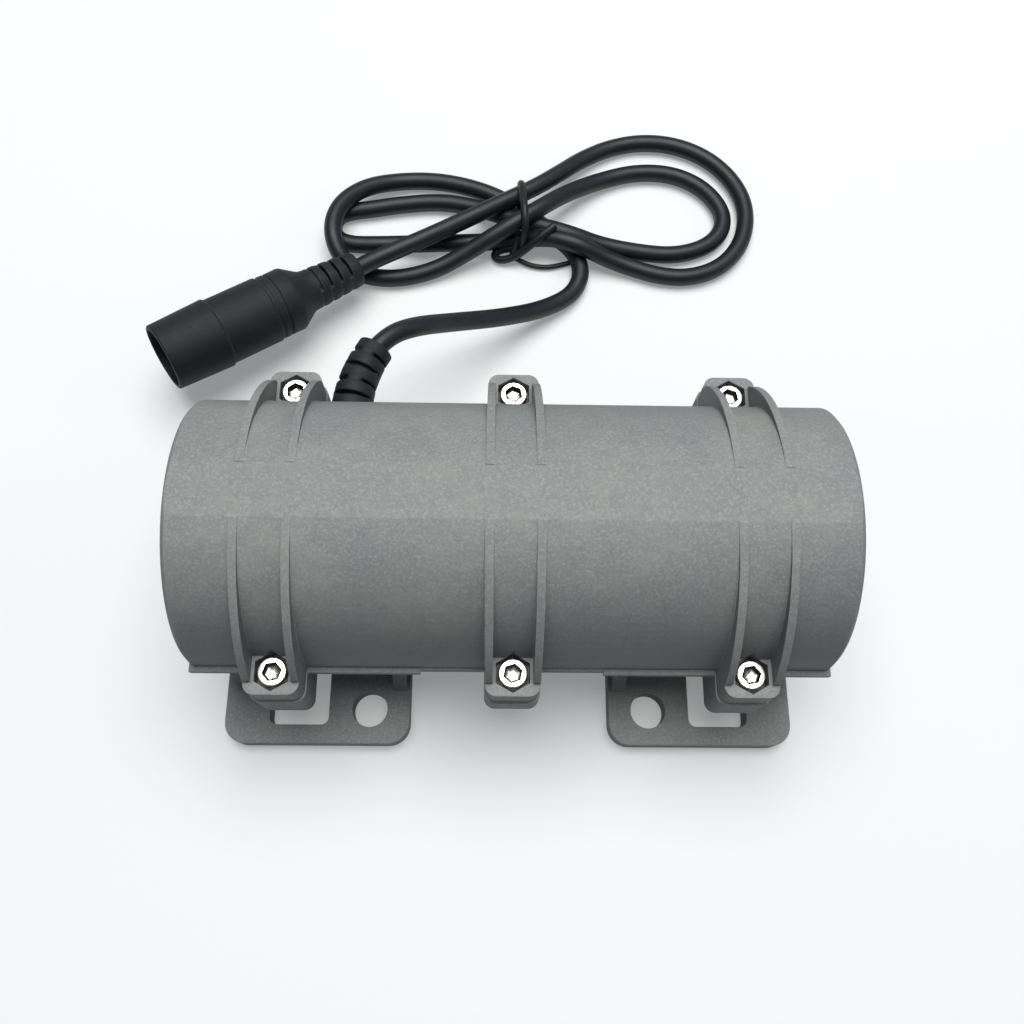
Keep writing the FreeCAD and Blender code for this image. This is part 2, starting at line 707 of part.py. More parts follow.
def clamp_nuts():
    nuts = []
    for number, (x, y) in enumerate(screw_places(), 1):
        bottom = s.axis_height - s.nut_seat - s.nut_height
        turn = Rotation(Vector(0, 0, 1), 30)
        blank = hexagon(f"nut_blank_{number}", s.nut_flats, s.nut_height, x, y, bottom, turn)
        hole = cylinder(f"nut_hole_{number}", s.thread_radius + s.press_gap,
                        s.nut_height, x, y, bottom)
        nuts.append(cut(f"clamp_nut_{number}", blank, hole))
    return group("clamp_nuts", *nuts)


# ---------------------------------------------------------------- motor case and stator

def motor_can():
    return turned("motor_can", [(-can_end, can_bore), (can_end, can_bore),
                                (can_end, s.motor_radius), (-can_end, s.motor_radius)])


def bell_outline(preload):
    spigot = can_bore - s.press_gap
    shoulder = bearing_outer_face + preload
    seat = s.bearing_radius + s.press_gap
    return [(half_motor, s.shaft_hole), (half_motor, s.motor_radius - 1, 0.6),
            (half_motor - 1, s.motor_radius, 0.6), (can_end, s.motor_radius),
            (can_end, spigot), (can_end - s.spigot_depth, spigot),
            (can_end - s.spigot_depth, spigot - s.spigot_wall),
            (half_motor - s.bell_web, spigot - s.spigot_wall),
            (half_motor - s.bell_web, s.hub_radius), (s.bearing_inner_face, s.hub_radius),
            (s.bearing_inner_face, seat), (shoulder, seat), (shoulder, s.shaft_hole)]


def right_bell():
    return turned("right_bell", bell_outline(s.preload_gap))


def left_bell():
    blank = turned("left_bell_blank", mirrored_outline(bell_outline(as_size(0))))
    hole = cylinder("lead_hole", s.lead_hole, s.bell_rim, -half_motor - 1, s.lead_row,
                    s.axis_height, TURN_Y)
    return cut("left_bell", blank, hole)


def stator_core():
    """A ring with six teeth, each with a curved shoe facing the magnets."""
    yoke_inner = can_bore - s.yoke_depth
    length = 2 * s.core_half_length
    ring = turned("stator_ring", [(-s.core_half_length, yoke_inner),
                                  (s.core_half_length, yoke_inner),
                                  (s.core_half_length, can_bore - s.press_gap),
                                  (-s.core_half_length, can_bore - s.press_gap)])
    bore = cylinder("stator_bore", stator_bore, length + 2, -s.core_half_length - 1, 0,
                    s.axis_height, TURN_Y)
    pieces = [ring]
    for number in range(TEETH):
        around = Rotation(Vector(1, 0, 0), 360 / TEETH * number)
        tooth = doc.addObject("Part::Box", f"tooth_{number}")
        bind(tooth, "Length", length)
        bind(tooth, "Width", s.tooth_width)
        bind(tooth, "Height", yoke_inner + 0.5)
        pieces.append(spoke(tooth, around, -s.core_half_length, -s.tooth_width / 2, 0))
        shoe = doc.addObject("Part::Cylinder", f"shoe_{number}")
        bind(shoe, "Radius", stator_bore + s.shoe_depth)
        bind(shoe, "Height", length)
        bind(shoe, "Angle", s.shoe_angle)
        lean = around * TURN_Y * Rotation(Vector(0, 0, 1), 180 - s.shoe_angle.value / 2)
        pieces.append(place(shoe, -s.core_half_length, 0, s.axis_height, lean))
    return cut("stator_core", joined("stator_blank", *pieces), bore)


def spoke(thing, around, x, y, lift, turn=None):
    """Put a feature at (x, y, lift) from the shaft axis, then turn it round the axis."""
    x, y, lift = as_size(x), as_size(y), as_size(lift)
    angle = around.Angle if around.Axis.x >= 0 else -around.Angle
    c, n = math.cos(angle), math.sin(angle)
    return place(thing, x, c * y - n * lift, s.axis_height + n * y + c * lift,
                 around * (turn or Rotation()))


def stator_windings():
    """One coil round each tooth, an oblong loop with rounded ends."""
    inner = stator_bore + s.shoe_depth + 0.1
    coils = []
    for number in range(TEETH):
        sketch = doc.addObject("Sketcher::SketchObject", f"coil_outline_{number}")
        half_x = s.core_half_length + s.coil_overhang
        half_y = s.tooth_width / 2 + s.coil_side
        zero = as_size(0)
        draw(sketch, rectangle(zero, zero, half_x, half_y, s.coil_side))
        draw(sketch, rectangle(zero, zero, s.core_half_length + 0.1, s.tooth_width / 2 + 0.05))
        coil = doc.addObject("Part::Extrusion", f"coil_{number}")
        coil.Base = sketch
        coil.DirMode = "Custom"
        coil.Dir = Vector(0, 0, 1)
        coil.Solid = True
        bind(coil, "LengthFwd", s.coil_depth)
        around = Rotation(Vector(1, 0, 0), 360 / TEETH * number)
        coils.append(spoke(coil, around, 0, 0, inner))
    return group("stator_windings", *coils)


def insulator(name, way, posts):
    """End insulator on the stator ring, with posts for the driver board on the left."""
    near, far = s.core_half_length, s.core_half_length + s.insulator_width
    inner, outer = can_bore - s.yoke_depth + 0.1, can_bore - s.insulator_inset
    ring = turned(name + "_ring", [(way * near, inner), (way * far, inner),
                                   (way * far, outer), (way * near, outer)])
    if not posts:
        ring.Label = name
        return ring
    pieces = [ring]
    for number in range(3):
        around = Rotation(Vector(1, 0, 0), 30 + 120 * number)
        post = cylinder(f"{name}_post_{number}", s.post_radius, s.post_length)
        pieces.append(spoke(post, around, -far - s.post_length, 0,
                            outer - s.post_radius - 0.6, TURN_Y))
    return joined(name, *pieces)


def board_faces():
    near = s.core_half_length + s.insulator_width + s.post_length
    return -near, -near - s.board_thickness


def driver_board():
    near, far = board_faces()
    return turned("driver_board", [(far, s.board_bore), (near, s.board_bore),
                                   (near, s.board_radius), (far, s.board_radius)])


def driver_parts():
    """Power switches, a controller and a capacitor on the outer side of the board."""
    far = board_faces()[1]
    parts = []
    for number, (angle, wide, tall) in enumerate(((90, 5.0, 4.0), (140, 5.0, 4.0),
                                                  (220, 5.0, 4.0), (320, 4.4, 4.4))):
        around = Rotation(Vector(1, 0, 0), angle)
        chip = doc.addObject("Part::Box", f"chip_{number}")
        bind(chip, "Length", s.chip_height)
        chip.Width = wide
        chip.Height = tall
        parts.append(spoke(chip, around, far - s.chip_height, -wide / 2, s.board_bore + 3))
    parts.append(cylinder("capacitor", 2.2, s.chip_height, far - s.chip_height, 0,
                          s.axis_height - s.board_bore - 5, TURN_Y))
    return group("driver_parts", *parts)


# ---------------------------------------------------------------- bearings and rotor

def race(name, way, inner, outer):
    """A race with a ball groove; the groove is a ring round the ball circle."""
    near, far = s.bearing_inner_face, bearing_outer_face
    blank = turned(name + "_blank", [(way * near, inner), (way * far, inner),
                                     (way * far, outer), (way * near, outer)])
    groove = doc.addObject("Part::Torus", name + "_groove")
    bind(groove, "Radius1", s.ball_pitch)
    bind(groove, "Radius2", s.ball_radius + s.ball_play)
    place(groove, way * bearing_middle, 0, s.axis_height, TURN_Y)
    return cut(name, blank, groove)


def ball_set(name, way):
    """Balls in a crown cage."""
    near, far = bearing_middle, bearing_middle + s.cage_half_width
    inner, outer = s.ball_pitch - s.cage_half_wall, s.ball_pitch + s.cage_half_wall
    crown = turned(name + "_crown", [(way * near, inner), (way * far, inner),
                                     (way * far, outer), (way * near, outer)])
    balls, seats = [], []
    for number in range(BALLS):
        around = Rotation(Vector(1, 0, 0), 360 / BALLS * number)
        for kind, radius, made in (("ball", s.ball_radius, balls),
                                   ("seat", s.ball_radius + s.ball_play, seats)):
            sphere = doc.addObject("Part::Sphere", f"{name}_{kind}_{number}")
            bind(sphere, "Radius", radius)
            made.append(spoke(sphere, around, way * bearing_middle, 0, s.ball_pitch))
    return group(name, cut(name + "_cage", crown, *seats), *balls)


def preload_washer():
    inner, outer = s.outer_race_bore, s.bearing_radius - 0.1
    near, far = bearing_outer_face, bearing_outer_face + s.preload_gap
    return turned("preload_washer", [(near, inner), (far, inner), (far, outer), (near, outer)])


def rotor_shaft():
    """Stepped shaft: a thick middle between the bearings, a circlip groove and a flat per end."""
    thin, thick, tip = s.bearing_bore, s.shaft_body_radius, 0.4
    groove_start = bearing_outer_face + s.circlip_gap
    groove_end = groove_start + s.circlip_width + 0.1
    deep = thin - s.groove_depth
    right = [(s.bearing_inner_face, thick), (s.bearing_inner_face, thin), (groove_start, thin),
             (groove_start, deep), (groove_end, deep), (groove_end, thin),
             (half_shaft - tip, thin), (half_shaft, thin - tip)]
    left = [(-x, radius) for x, radius in reversed(right)]
    zero = as_size(0)
    blank = turned("shaft_blank", [(-half_shaft, zero)] + left + right + [(half_shaft, zero)])
    flats = [box(f"shaft_flat_{number}", s.flat_length, 2 * thin, s.flat_depth + 1,
                 way * grub_x, 0, s.axis_height + thin - s.flat_depth)
             for number, way in enumerate(SIDES)]
    return cut("rotor_shaft", blank, *flats)


def circlip(name, way):
    near = bearing_outer_face + s.circlip_gap + 0.05
    inner = s.bearing_bore - s.groove_depth + s.press_gap
    ring = turned(name + "_ring", [(way * near, inner), (way * (near + s.circlip_width), inner),
                                   (way * (near + s.circlip_width), s.circlip_radius),
                                   (way * near, s.circlip_radius)])
    gap = box(name + "_gap", s.circlip_width + 1, 2.6, s.circlip_radius + 1,
              way * (near + s.circlip_width / 2), 0, s.axis_height)
    return cut(name, ring, gap)


def rotor_core():
    inner, outer, half = s.shaft_body_radius + s.press_gap, s.rotor_core_radius, s.core_half_length
    return turned("rotor_core", [(-half, inner), (half, inner), (half, outer), (-half, outer)])


def rotor_magnets():
    magnets = []
    for number in range(4):
        segment = doc.addObject("Part::Cylinder", f"magnet_blank_{number}")
        bind(segment, "Radius", s.magnet_radius)
        bind(segment, "Height", 2 * s.core_half_length)
        bind(segment, "Angle", s.magnet_angle)
        around = Rotation(Vector(1, 0, 0), 90 * number) * TURN_Y
        place(segment, -s.core_half_length, 0, s.axis_height, around)
        hole = cylinder(f"magnet_hole_{number}", s.rotor_core_radius + s.press_gap,
                        2 * s.core_half_length, -s.core_half_length, 0, s.axis_height, TURN_Y)
        magnets.append(cut(f"magnet_{number}", segment, hole))
    return group("rotor_magnets", *magnets)


def weight(name, way):
    """A half-round weight hanging under the shaft, with a hub for the grub screw above it."""
    start = s.weight_start if way > 0 else -weight_end
    half = doc.addObject("Part::Cylinder", name + "_half")
    bind(half, "Radius", s.weight_radius)
    bind(half, "Height", s.weight_width)
    half.Angle = 180
    place(half, start, 0, s.axis_height, TURN_Y * Rotation(Vector(0, 0, 1), -90))
    hub = cylinder(name + "_hub", s.weight_hub_radius, s.weight_width, start, 0,
                   s.axis_height, TURN_Y)
    bore = cylinder(name + "_bore", s.bearing_bore + s.press_gap, s.weight_width + 2,
                    start - 1, 0, s.axis_height, TURN_Y)
    tapped = cylinder(name + "_tapped", s.grub_radius + s.press_gap, s.weight_hub_radius + 2,
                      way * grub_x, 0, s.axis_height)
    return cut(name, joined(name + "_blank", half, hub), bore, tapped)


def grub_screw(name, way):
    seat = s.axis_height + s.bearing_bore - s.flat_depth
    blank = cylinder(name + "_blank", s.grub_radius, s.grub_length, way * grub_x, 0, seat)
    key = hexagon(name + "_key", s.grub_key_flats, s.key_depth, way * grub_x, 0,
                  seat + s.grub_length - s.key_depth)
    return cut(name, blank, key)


# ---------------------------------------------------------------- strain relief, leads, cord

def gland_point(angle):
    """Where the strain relief's axis runs at a bend angle."""
    x = s.gland_x + s.gland_bend_radius * (1 - cosine(angle))
    y = s.shell_radius + s.press_gap + s.gland_bend_radius * sine(angle)
    return x, y


def cable_gland():
    """Moulded strain relief: a clamped neck, then four rings joined by crossed webs."""
    rings = 4
    wall_inside = root(bore_radius * bore_radius - s.gland_flange_radius * s.gland_flange_radius)
    flange_end = wall_inside - s.gland_flange_gap
    flange_start = flange_end - s.gland_flange_width
    pieces = [cylinder("gland_flange", s.gland_flange_radius, s.gland_flange_width,
                       s.gland_x, flange_start, s.axis_height, TURN_X),
              cylinder("gland_neck_piece", s.gland_neck,
                       s.shell_radius + s.press_gap - flange_start,
                       s.gland_x, flange_start, s.axis_height, TURN_X)]
    core = doc.addObject("Part::Torus", "gland_core_piece")
    bind(core, "Radius1", s.gland_bend_radius)
    bind(core, "Radius2", s.gland_core)
    bind(core, "Angle3", s.gland_bend_angle)
    turn = Rotation(Vector(0, 0, 1), 180 - s.gland_bend_angle.value)
    pieces.append(place(core, s.gland_x + s.gland_bend_radius, s.shell_radius + s.press_gap,
                        s.axis_height, turn))
    step = s.gland_bend_angle / rings
    pitch = s.gland_bend_radius * s.gland_bend_angle * math.pi / 180 / rings
    for number in range(rings):
        start = (number + 1) * step
        heading = Rotation(Vector(0, 0, 1), -start.value) * TURN_X
        x, y = gland_point(start)
        radius = s.gland_radius - number * s.gland_taper
        thick = s.ring_share * pitch
        back_x, back_y = x - thick * sine(start), y - thick * cosine(start)
        pieces.append(cylinder(f"gland_ring_{number}", radius, thick, back_x, back_y,
                               s.axis_height, heading))
        if number == 0:
            continue
        gap_start = number * step
        gap_x, gap_y = gland_point(gap_start)
        web = doc.addObject("Part::Box", f"gland_web_{number}")
        wide, tall = (2 * radius - 0.6, s.gland_web) if number % 2 else (s.gland_web,
                                                                         2 * radius - 0.6)
        bind(web, "Length", wide)
        bind(web, "Width", tall)
        bind(web, "Height", pitch * (1 - s.ring_share) + 0.4)
        lean = Rotation(Vector(0, 0, 1), -gap_start.value) * TURN_X
        half_wide, half_tall = as_size(wide) / 2, as_size(tall) / 2
        pieces.append(place(web, gap_x - half_wide * cosine(gap_start) - 0.2 * sine(gap_start),
                            gap_y + half_wide * sine(gap_start) - 0.2 * cosine(gap_start),
                            s.axis_height + half_tall, lean))
    return joined("cable_gland", *pieces)


def rounded_path(points, radius_share=0.45):
    """Straight runs joined by tangent arcs, each as large as its two runs allow."""
    edges, radii, here = [], [], points[0]
    for before, corner, after in zip(points, points[1:], points[2:]):
        back, on = before - corner, after - corner
        half_turn = (math.pi - back.getAngle(on)) / 2
        reach = radius_share * min(back.Length, on.Length)
        radius = reach / math.tan(half_turn)
        radii.append(radius)
        back, on = back.normalize(), on.normalize()
        enter, leave = corner + back * reach, corner + on * reach
        bisector = (back + on).normalize()
        centre = corner + bisector * (radius / math.cos(half_turn))
        edges.append(Part.LineSegment(here, enter).toShape())
        edges.append(Part.Arc(enter, centre - bisector * radius, leave).toShape())
        here = leave
    edges.append(Part.LineSegment(here, points[-1]).toShape())
    return Part.Wire(edges), radii


def tube(name, points, radius):
    """A round tube along a path; its volume is compared with section times length."""
    path, radii = rounded_path(points)
    start = path.Edges[0]
    ring = Part.Wire([Part.Circle(points[0], start.tangentAt(0), radius).toShape()])
    solid = path.makePipeShell([ring], True, False)
    made = doc.addObject("Part::Feature", name)
    made.Shape = solid
    ideal = math.pi * radius * radius * path.Length
    print(f"{name}: length {path.Length:.1f}, volume over ideal {solid.Volume / ideal:.4f}, "
          f"radii {[round(r, 1) for r in radii]}")
    return made


def lead(name, way):
    """An inner lead from the driver board through the left bell to the strain relief."""
    z = s.axis_height.value + way * s.lead_split.value
    row, gland = s.lead_row.value, s.gland_x.value
    wall = math.sqrt(bore_radius.value ** 2 - s.gland_flange_radius.value ** 2)
    end = wall - s.gland_flange_gap.value - s.gland_flange_width.value
    return tube(name, [Vector(board_faces()[1].value, row, z), Vector(gland, row, z),
                       Vector(gland, end, z)], s.lead_radius.value)


def gland_tip():
    x, y = gland_point(s.gland_bend_angle)
    angle = math.radians(s.gland_bend_angle.value)
    return Vector(x.value, y.value, s.axis_height.value), Vector(math.sin(angle), math.cos(angle))


# Route of the cord from the strain relief down to the floor and round to the loops.
FIRST_RUN = 5.2
LEAD_ROUTE = [(-20.1, 47.6, 25.2), (-12.0, 52.6, 19.6), (-1.5, 58.3, 11.0), (8.0, 63.0, 4.6),
              (14.4, 67.6, 2.4), (17.7, 72.6, 2.05), (17.4, 77.8, 2.05), (15.1, 81.6, 2.05)]


def lead_points():
    tip, heading = gland_tip()
    return [tip, tip + heading * FIRST_RUN] + [Vector(*point) for point in LEAD_ROUTE]


def cord_lead():
    return tube("cord_lead", lead_points(), s.cord_radius.value)


# Bend radius of the tie over its wire's radius.
TIE_BEND = 3

# Middle of the outermost cord round each loop of the figure-of-eight, and of its opening.
RIGHT_LOOP = [(4.0, 91.0), (12.0, 97.6), (23.4, 107.0), (36.0, 113.4), (49.6, 110.0),
              (57.6, 99.4), (58.4, 87.6), (54.0, 78.0), (45.4, 72.2), (34.4, 71.6), (23.4, 76.0),
              (12.0, 81.4), (4.0, 84.0)]
RIGHT_HOLE = [(19.0, 90.6), (28.6, 95.4), (38.6, 96.6), (45.6, 92.0), (45.0, 84.6),
              (36.0, 80.6), (25.0, 84.0)]
LEFT_LOOP = [(2.0, 84.0), (-7.6, 78.0), (-18.6, 71.4), (-29.8, 67.6), (-40.4, 71.4),
             (-44.6, 83.4), (-40.6, 94.0), (-28.0, 99.8), (-14.6, 97.8), (-3.0, 91.6)]
LEFT_HOLE = [(-14.0, 84.6), (-23.0, 84.0), (-32.0, 84.6), (-32.4, 88.2), (-23.0, 89.4),
             (-13.6, 88.0)]
# The cord on top of the loops: from the connector, over the waist and down again.
TOP_RUN = [(-35.2, 70.5, 10.0), (-7.4, 84.0, 10.4), (4.0, 90.6, 10.4), (24.0, 105.4, 4.4)]


def rounded_outline(points):
    """A closed line on the floor: straight runs joined by tangent arcs."""
    spots = [Vector(x, y, 0) for x, y in points]
    reaches = [0.47 * min((spots[i - 1] - spot).Length, (spots[(i + 1) % len(spots)] - spot).Length)
               for i, spot in enumerate(spots)]
    edges, count = [], len(spots)
    for i, spot in enumerate(spots):
        following = (i + 1) % count
        back = (spots[i - 1] - spot).normalize()
        on = (spots[following] - spot).normalize()
        half_turn = (math.pi - back.getAngle(on)) / 2
        bisector = (back + on).normalize()
        radius = reaches[i] / math.tan(half_turn)
        middle = spot + bisector * (radius / math.cos(half_turn) - radius)
        leave = spot + on * reaches[i]
        edges.append(Part.Arc(spot + back * reaches[i], middle, leave).toShape())
        arrive = spots[following] - on * reaches[following]
        edges.append(Part.LineSegment(leave, arrive).toShape())
    return Part.Wire(edges)


def plate(points, outward, height):
    """A flat plate inside a rounded closed line, grown outwards."""
    face = Part.Face(rounded_outline(points))
    if outward:
        face = face.makeOffset2D(outward)
    return face.extrude(Vector(0, 0, height))


def ridge(start, end, width):
    """An upright wall under a cord that runs on top of the others."""
    low_start, low_end = Vector(start.x, start.y, 0), Vector(end.x, end.y, 0)
    across = (low_end - low_start).cross(Vector(0, 0, 1)).normalize() * width
    side = Part.Face(Part.makePolygon([low_start, low_end, end, start, low_start]))
    side.translate(across * -0.5)
    return side.extrude(across)


def cord_hank():
    """The looped cord as one closed solid: two open loops, the waist and the run on top."""
    cord, front, back = s.cord_radius.value, s.waist_front.value, s.waist_back.value
    low, half_waist = 2 * cord, s.waist_half_width.value
    right = plate(RIGHT_LOOP, cord, low).cut(plate(RIGHT_HOLE, 0, low))
    left = plate(LEFT_LOOP, cord, low).cut(plate(LEFT_HOLE, 0, low))
    waist = Part.makeBox(2 * half_waist, back - front, s.waist_height.value,
                         Vector(s.tie_x.value - half_waist, front, 0))
    spots = [Vector(*point) for point in TOP_RUN]
    ridges = [ridge(start, end, 2 * cord) for start, end in zip(spots, spots[1:])]
    gap = s.soft_gap.value
    solid = right.fuse([left, waist] + ridges)
    solid = solid.cut([tie_groove(), connector_clearance(gap), lead_clearance(gap)])
    made = doc.addObject("Part::Feature", "cord_hank")
    made.Shape = max(solid.Solids, key=lambda piece: piece.Volume).removeSplitter()
    return made


def connector_turn():
    """Tilted down from the mouth, then turned on the floor."""
    tilt = Rotation(Vector(0, 1, 0), s.connector_tilt.value)
    return Rotation(Vector(0, 0, 1), s.connector_yaw.value) * tilt


def connector_pose():
    mouth = Vector(s.connector_mouth_x.value, s.connector_mouth_y.value,
                   s.connector_mouth_z.value)
    return mouth, connector_turn().multVec(Vector(1, 0, 0))


def connector_clearance(gap):
    """Room for the connector's boot; its end plane is where the cord goes on."""
    mouth, heading = connector_pose()
    return Part.makeCylinder(s.body_radius.value + gap, connector_length.value, mouth, heading)


def lead_clearance(gap):
    """Room for the cord's last stretch; its end plane is where the loops begin."""
    before, end = lead_points()[-2:]
    heading = (end - before).normalize()
    length = 14.0
    return Part.makeCylinder(s.cord_radius.value + gap, length, end - heading * length, heading)


def tie_corners():
    wire = s.tie_radius.value
    front, back = s.waist_front.value - wire, s.waist_back.value + wire
    low, high = wire, s.waist_height.value + wire
    return front, back, low, high


def tie_groove():
    """Groove round the bundle that the wire tie lies in, right down to the floor."""
    wire, inset = s.tie_radius.value, TIE_BEND * s.tie_radius.value / 3
    front, back, low, high = tie_corners()
    half = wire + s.soft_gap.value
    slab = Part.makeBox(2 * half, back - front + 4 * wire, high + 2 * wire,
                        Vector(s.tie_x.value - half, front - 2 * wire, 0))
    core = Part.makeBox(2 * half, back - front - 2 * (wire + inset),
                        high - low - 2 * (wire + inset),
                        Vector(s.tie_x.value - half, front + wire + inset, low + wire + inset))
    return slab.cut(core)


def bundle_tie():
    """Round wire bent into a closed loop with round corners."""
    front, back, low, high = tie_corners()
    x, wire, bend = s.tie_x.value, s.tie_radius.value, TIE_BEND * s.tie_radius.value
    spots = [Vector(x, front, low), Vector(x, back, low), Vector(x, back, high),
             Vector(x, front, high)]
    edges = []
    for number, spot in enumerate(spots):
        back_to = (spots[number - 1] - spot).normalize()
        on_to = (spots[(number + 1) % 4] - spot).normalize()
        middle = spot + (back_to + on_to) * bend * (1 - math.sqrt(0.5))
        edges.append(Part.Arc(spot + back_to * bend, middle, spot + on_to * bend).toShape())
        following = spots[(number + 1) % 4]
        edges.append(Part.LineSegment(spot + on_to * bend, following - on_to * bend).toShape())
    path = Part.Wire(edges)
    start = edges[1]
    ring = Part.Wire([Part.Circle(start.valueAt(start.FirstParameter),
                                  start.tangentAt(start.FirstParameter), wire).toShape()])
    loop = Part.Wire(edges[1:] + edges[:1]).makePipeShell([ring], True, False)
    made = doc.addObject("Part::Feature", "bundle_tie")
    made.Shape = loop
    print(f"bundle_tie: loop {path.Length:.1f}")
    return made


# ---------------------------------------------------------------- connector

def laid_down(feature):
    """Put a turned connector piece in its place, its mouth off the floor."""
    return place(feature, s.connector_mouth_x, s.connector_mouth_y, s.connector_mouth_z,
                 connector_turn())


def connector_shell():
    """Front sleeve, a step, and the body, with the mouth, a shoulder and the insert's seat."""
    step = s.sleeve_length
    end = step + s.body_length
    edge = 0.5
    return laid_down(turned("connector_shell", [
        (as_size(0), s.sleeve_bore), (as_size(0), s.sleeve_radius - edge, 0.4),
        (step, s.sleeve_radius, edge), (step, s.body_radius), (end, s.body_radius, 0.4),
        (end, s.insert_bore), (s.socket_depth, s.insert_bore),
        (s.socket_depth, s.sleeve_bore)], 0, 0, 0))


def boot_outline():
    """Rear boot: two rings, a shoulder, a cone and a row of strain-relief rings."""
    start = s.sleeve_length + s.body_length
    outline = [(start, as_size(0)), (start, s.body_radius - 0.5)]
    for width, drop in ((0.6, 0.5), (1.4, 0.25), (0.6, 0.7)):
        x = outline[-1][0]
        outline += [(x, s.body_radius - drop), (x + width, s.body_radius - drop)]
    x = outline[-1][0]
    outline += [(x, s.body_radius - 0.5), (x + 3.4, s.body_radius - 0.35),
                (x + 6.9, as_size(4.7)), (x + 8.6, as_size(4.65))]
    ring_start = outline[-1][0]
    end = connector_length
    rings = 4
    pitch = (end - ring_start) / rings
    for number in range(rings):
        near = ring_start + number * pitch
        radius = 4.5 - 0.2 * number
        outline += [(near, as_size(3.2)), (near + 0.4 * pitch, as_size(3.2)),
                    (near + 0.4 * pitch, as_size(radius)), (near + pitch, as_size(radius - 0.1))]
    clean = [outline[0]]
    for spot in outline[1:]:
        last = clean[-1]
        if abs(spot[0].value - last[0].value) + abs(spot[1].value - last[1].value) > 1e-6:
            clean.append(spot)
    return clean + [(end, as_size(0))]


def connector_boot():
    return laid_down(turned("connector_boot", boot_outline(), 0, 0, 0))


def connector_core():
    """Insert with a round socket; the pin stands in its middle."""
    start, end = s.socket_depth + s.insert_recess, s.socket_depth + s.core_length
    mouth = s.jack_radius + s.contact_wall
    outer = s.insert_bore - s.press_gap
    return laid_down(turned("connector_core", [
        (start, mouth), (start, outer), (end, outer), (end, as_size(0)),
        (start + s.jack_depth, as_size(0)), (start + s.jack_depth, mouth)], 0, 0, 0))


def connector_contact():
    start = s.socket_depth + 0.5
    end = s.socket_depth + s.jack_depth
    outer = s.jack_radius + s.contact_wall - s.press_gap
    return laid_down(turned("connector_contact", [
        (start, s.jack_radius), (end, s.jack_radius), (end, outer), (start, outer)], 0, 0, 0))


def connector_pin():
    start, end = s.socket_depth + s.pin_back_off, s.socket_depth + s.jack_depth
    return laid_down(turned("connector_pin", [
        (start, as_size(0)), (start, s.pin_radius, 0.4), (end, s.pin_radius),
        (end, as_size(0))], 0, 0, 0))


# ---------------------------------------------------------------- build and write

def build_all():
    made = [upper_shell(), lower_shell(), clamp_screws(), clamp_nuts(),
            motor_can(), left_bell(), right_bell(), stator_core(), stator_windings(),
            insulator("left_insulator", -1, True), insulator("right_insulator", 1, False),
            driver_board(), driver_parts(), preload_washer(),
            race("left_outer_race", -1, s.outer_race_bore, s.bearing_radius),
            race("right_outer_race", 1, s.outer_race_bore, s.bearing_radius),
            race("left_inner_race", -1, s.bearing_bore + s.press_gap, s.inner_race_radius),
            race("right_inner_race", 1, s.bearing_bore + s.press_gap, s.inner_race_radius),
            ball_set("left_ball_set", -1), ball_set("right_ball_set", 1),
            rotor_shaft(), circlip("left_circlip", -1), circlip("right_circlip", 1),
            rotor_core(), rotor_magnets(), weight("left_weight", -1), weight("right_weight", 1),
            grub_screw("left_grub_screw", -1), grub_screw("right_grub_screw", 1),
            lead("red_lead", 1), lead("black_lead", -1), cable_gland(), cord_lead(), cord_hank(),
            bundle_tie(), connector_shell(), connector_boot(), connector_core(),
            connector_contact(), connector_pin()]
    doc.recompute()
    return made


def check(made):
    for thing in doc.Objects:
        states = set(thing.State) & {"Invalid", "Error"}
        if states:
            raise RuntimeError(f"{thing.Name} is {states}")
    for part in made:
        if part.Shape.isNull() or not part.Shape.isValid():
            raise RuntimeError(f"{part.Label} has no valid shape")


def write(made):
    os.makedirs("parts", exist_ok=True)
    for part in made:
        part.Shape.exportStep(f"parts/{part.Label}.step")
        box_of = part.Shape.BoundBox
        print(f"{part.Label}: {len(part.Shape.Solids)} solid(s), {part.Shape.Volume:.1f} mm3, "
              f"x {box_of.XMin:.1f}..{box_of.XMax:.1f}, y {box_of.YMin:.1f}..{box_of.YMax:.1f}, "
              f"z {box_of.ZMin:.1f}..{box_of.ZMax:.1f}")


parts = build_all()
check(parts)
write(parts)
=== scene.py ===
# %% [markdown]
# # A vibration motor, dressed
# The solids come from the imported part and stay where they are. This lesson adds what they
# leave out: the finish of moulded nylon, rubber and steel, the cord as one soft line, and the
# small fasteners. Everything is in metres, in the part's own frame: +X along the shaft, +Y
# towards the side where the cord leaves, +Z up.

# %% Load the part
import json
import math

import bmesh
import bpy
from mathutils import Matrix, Vector

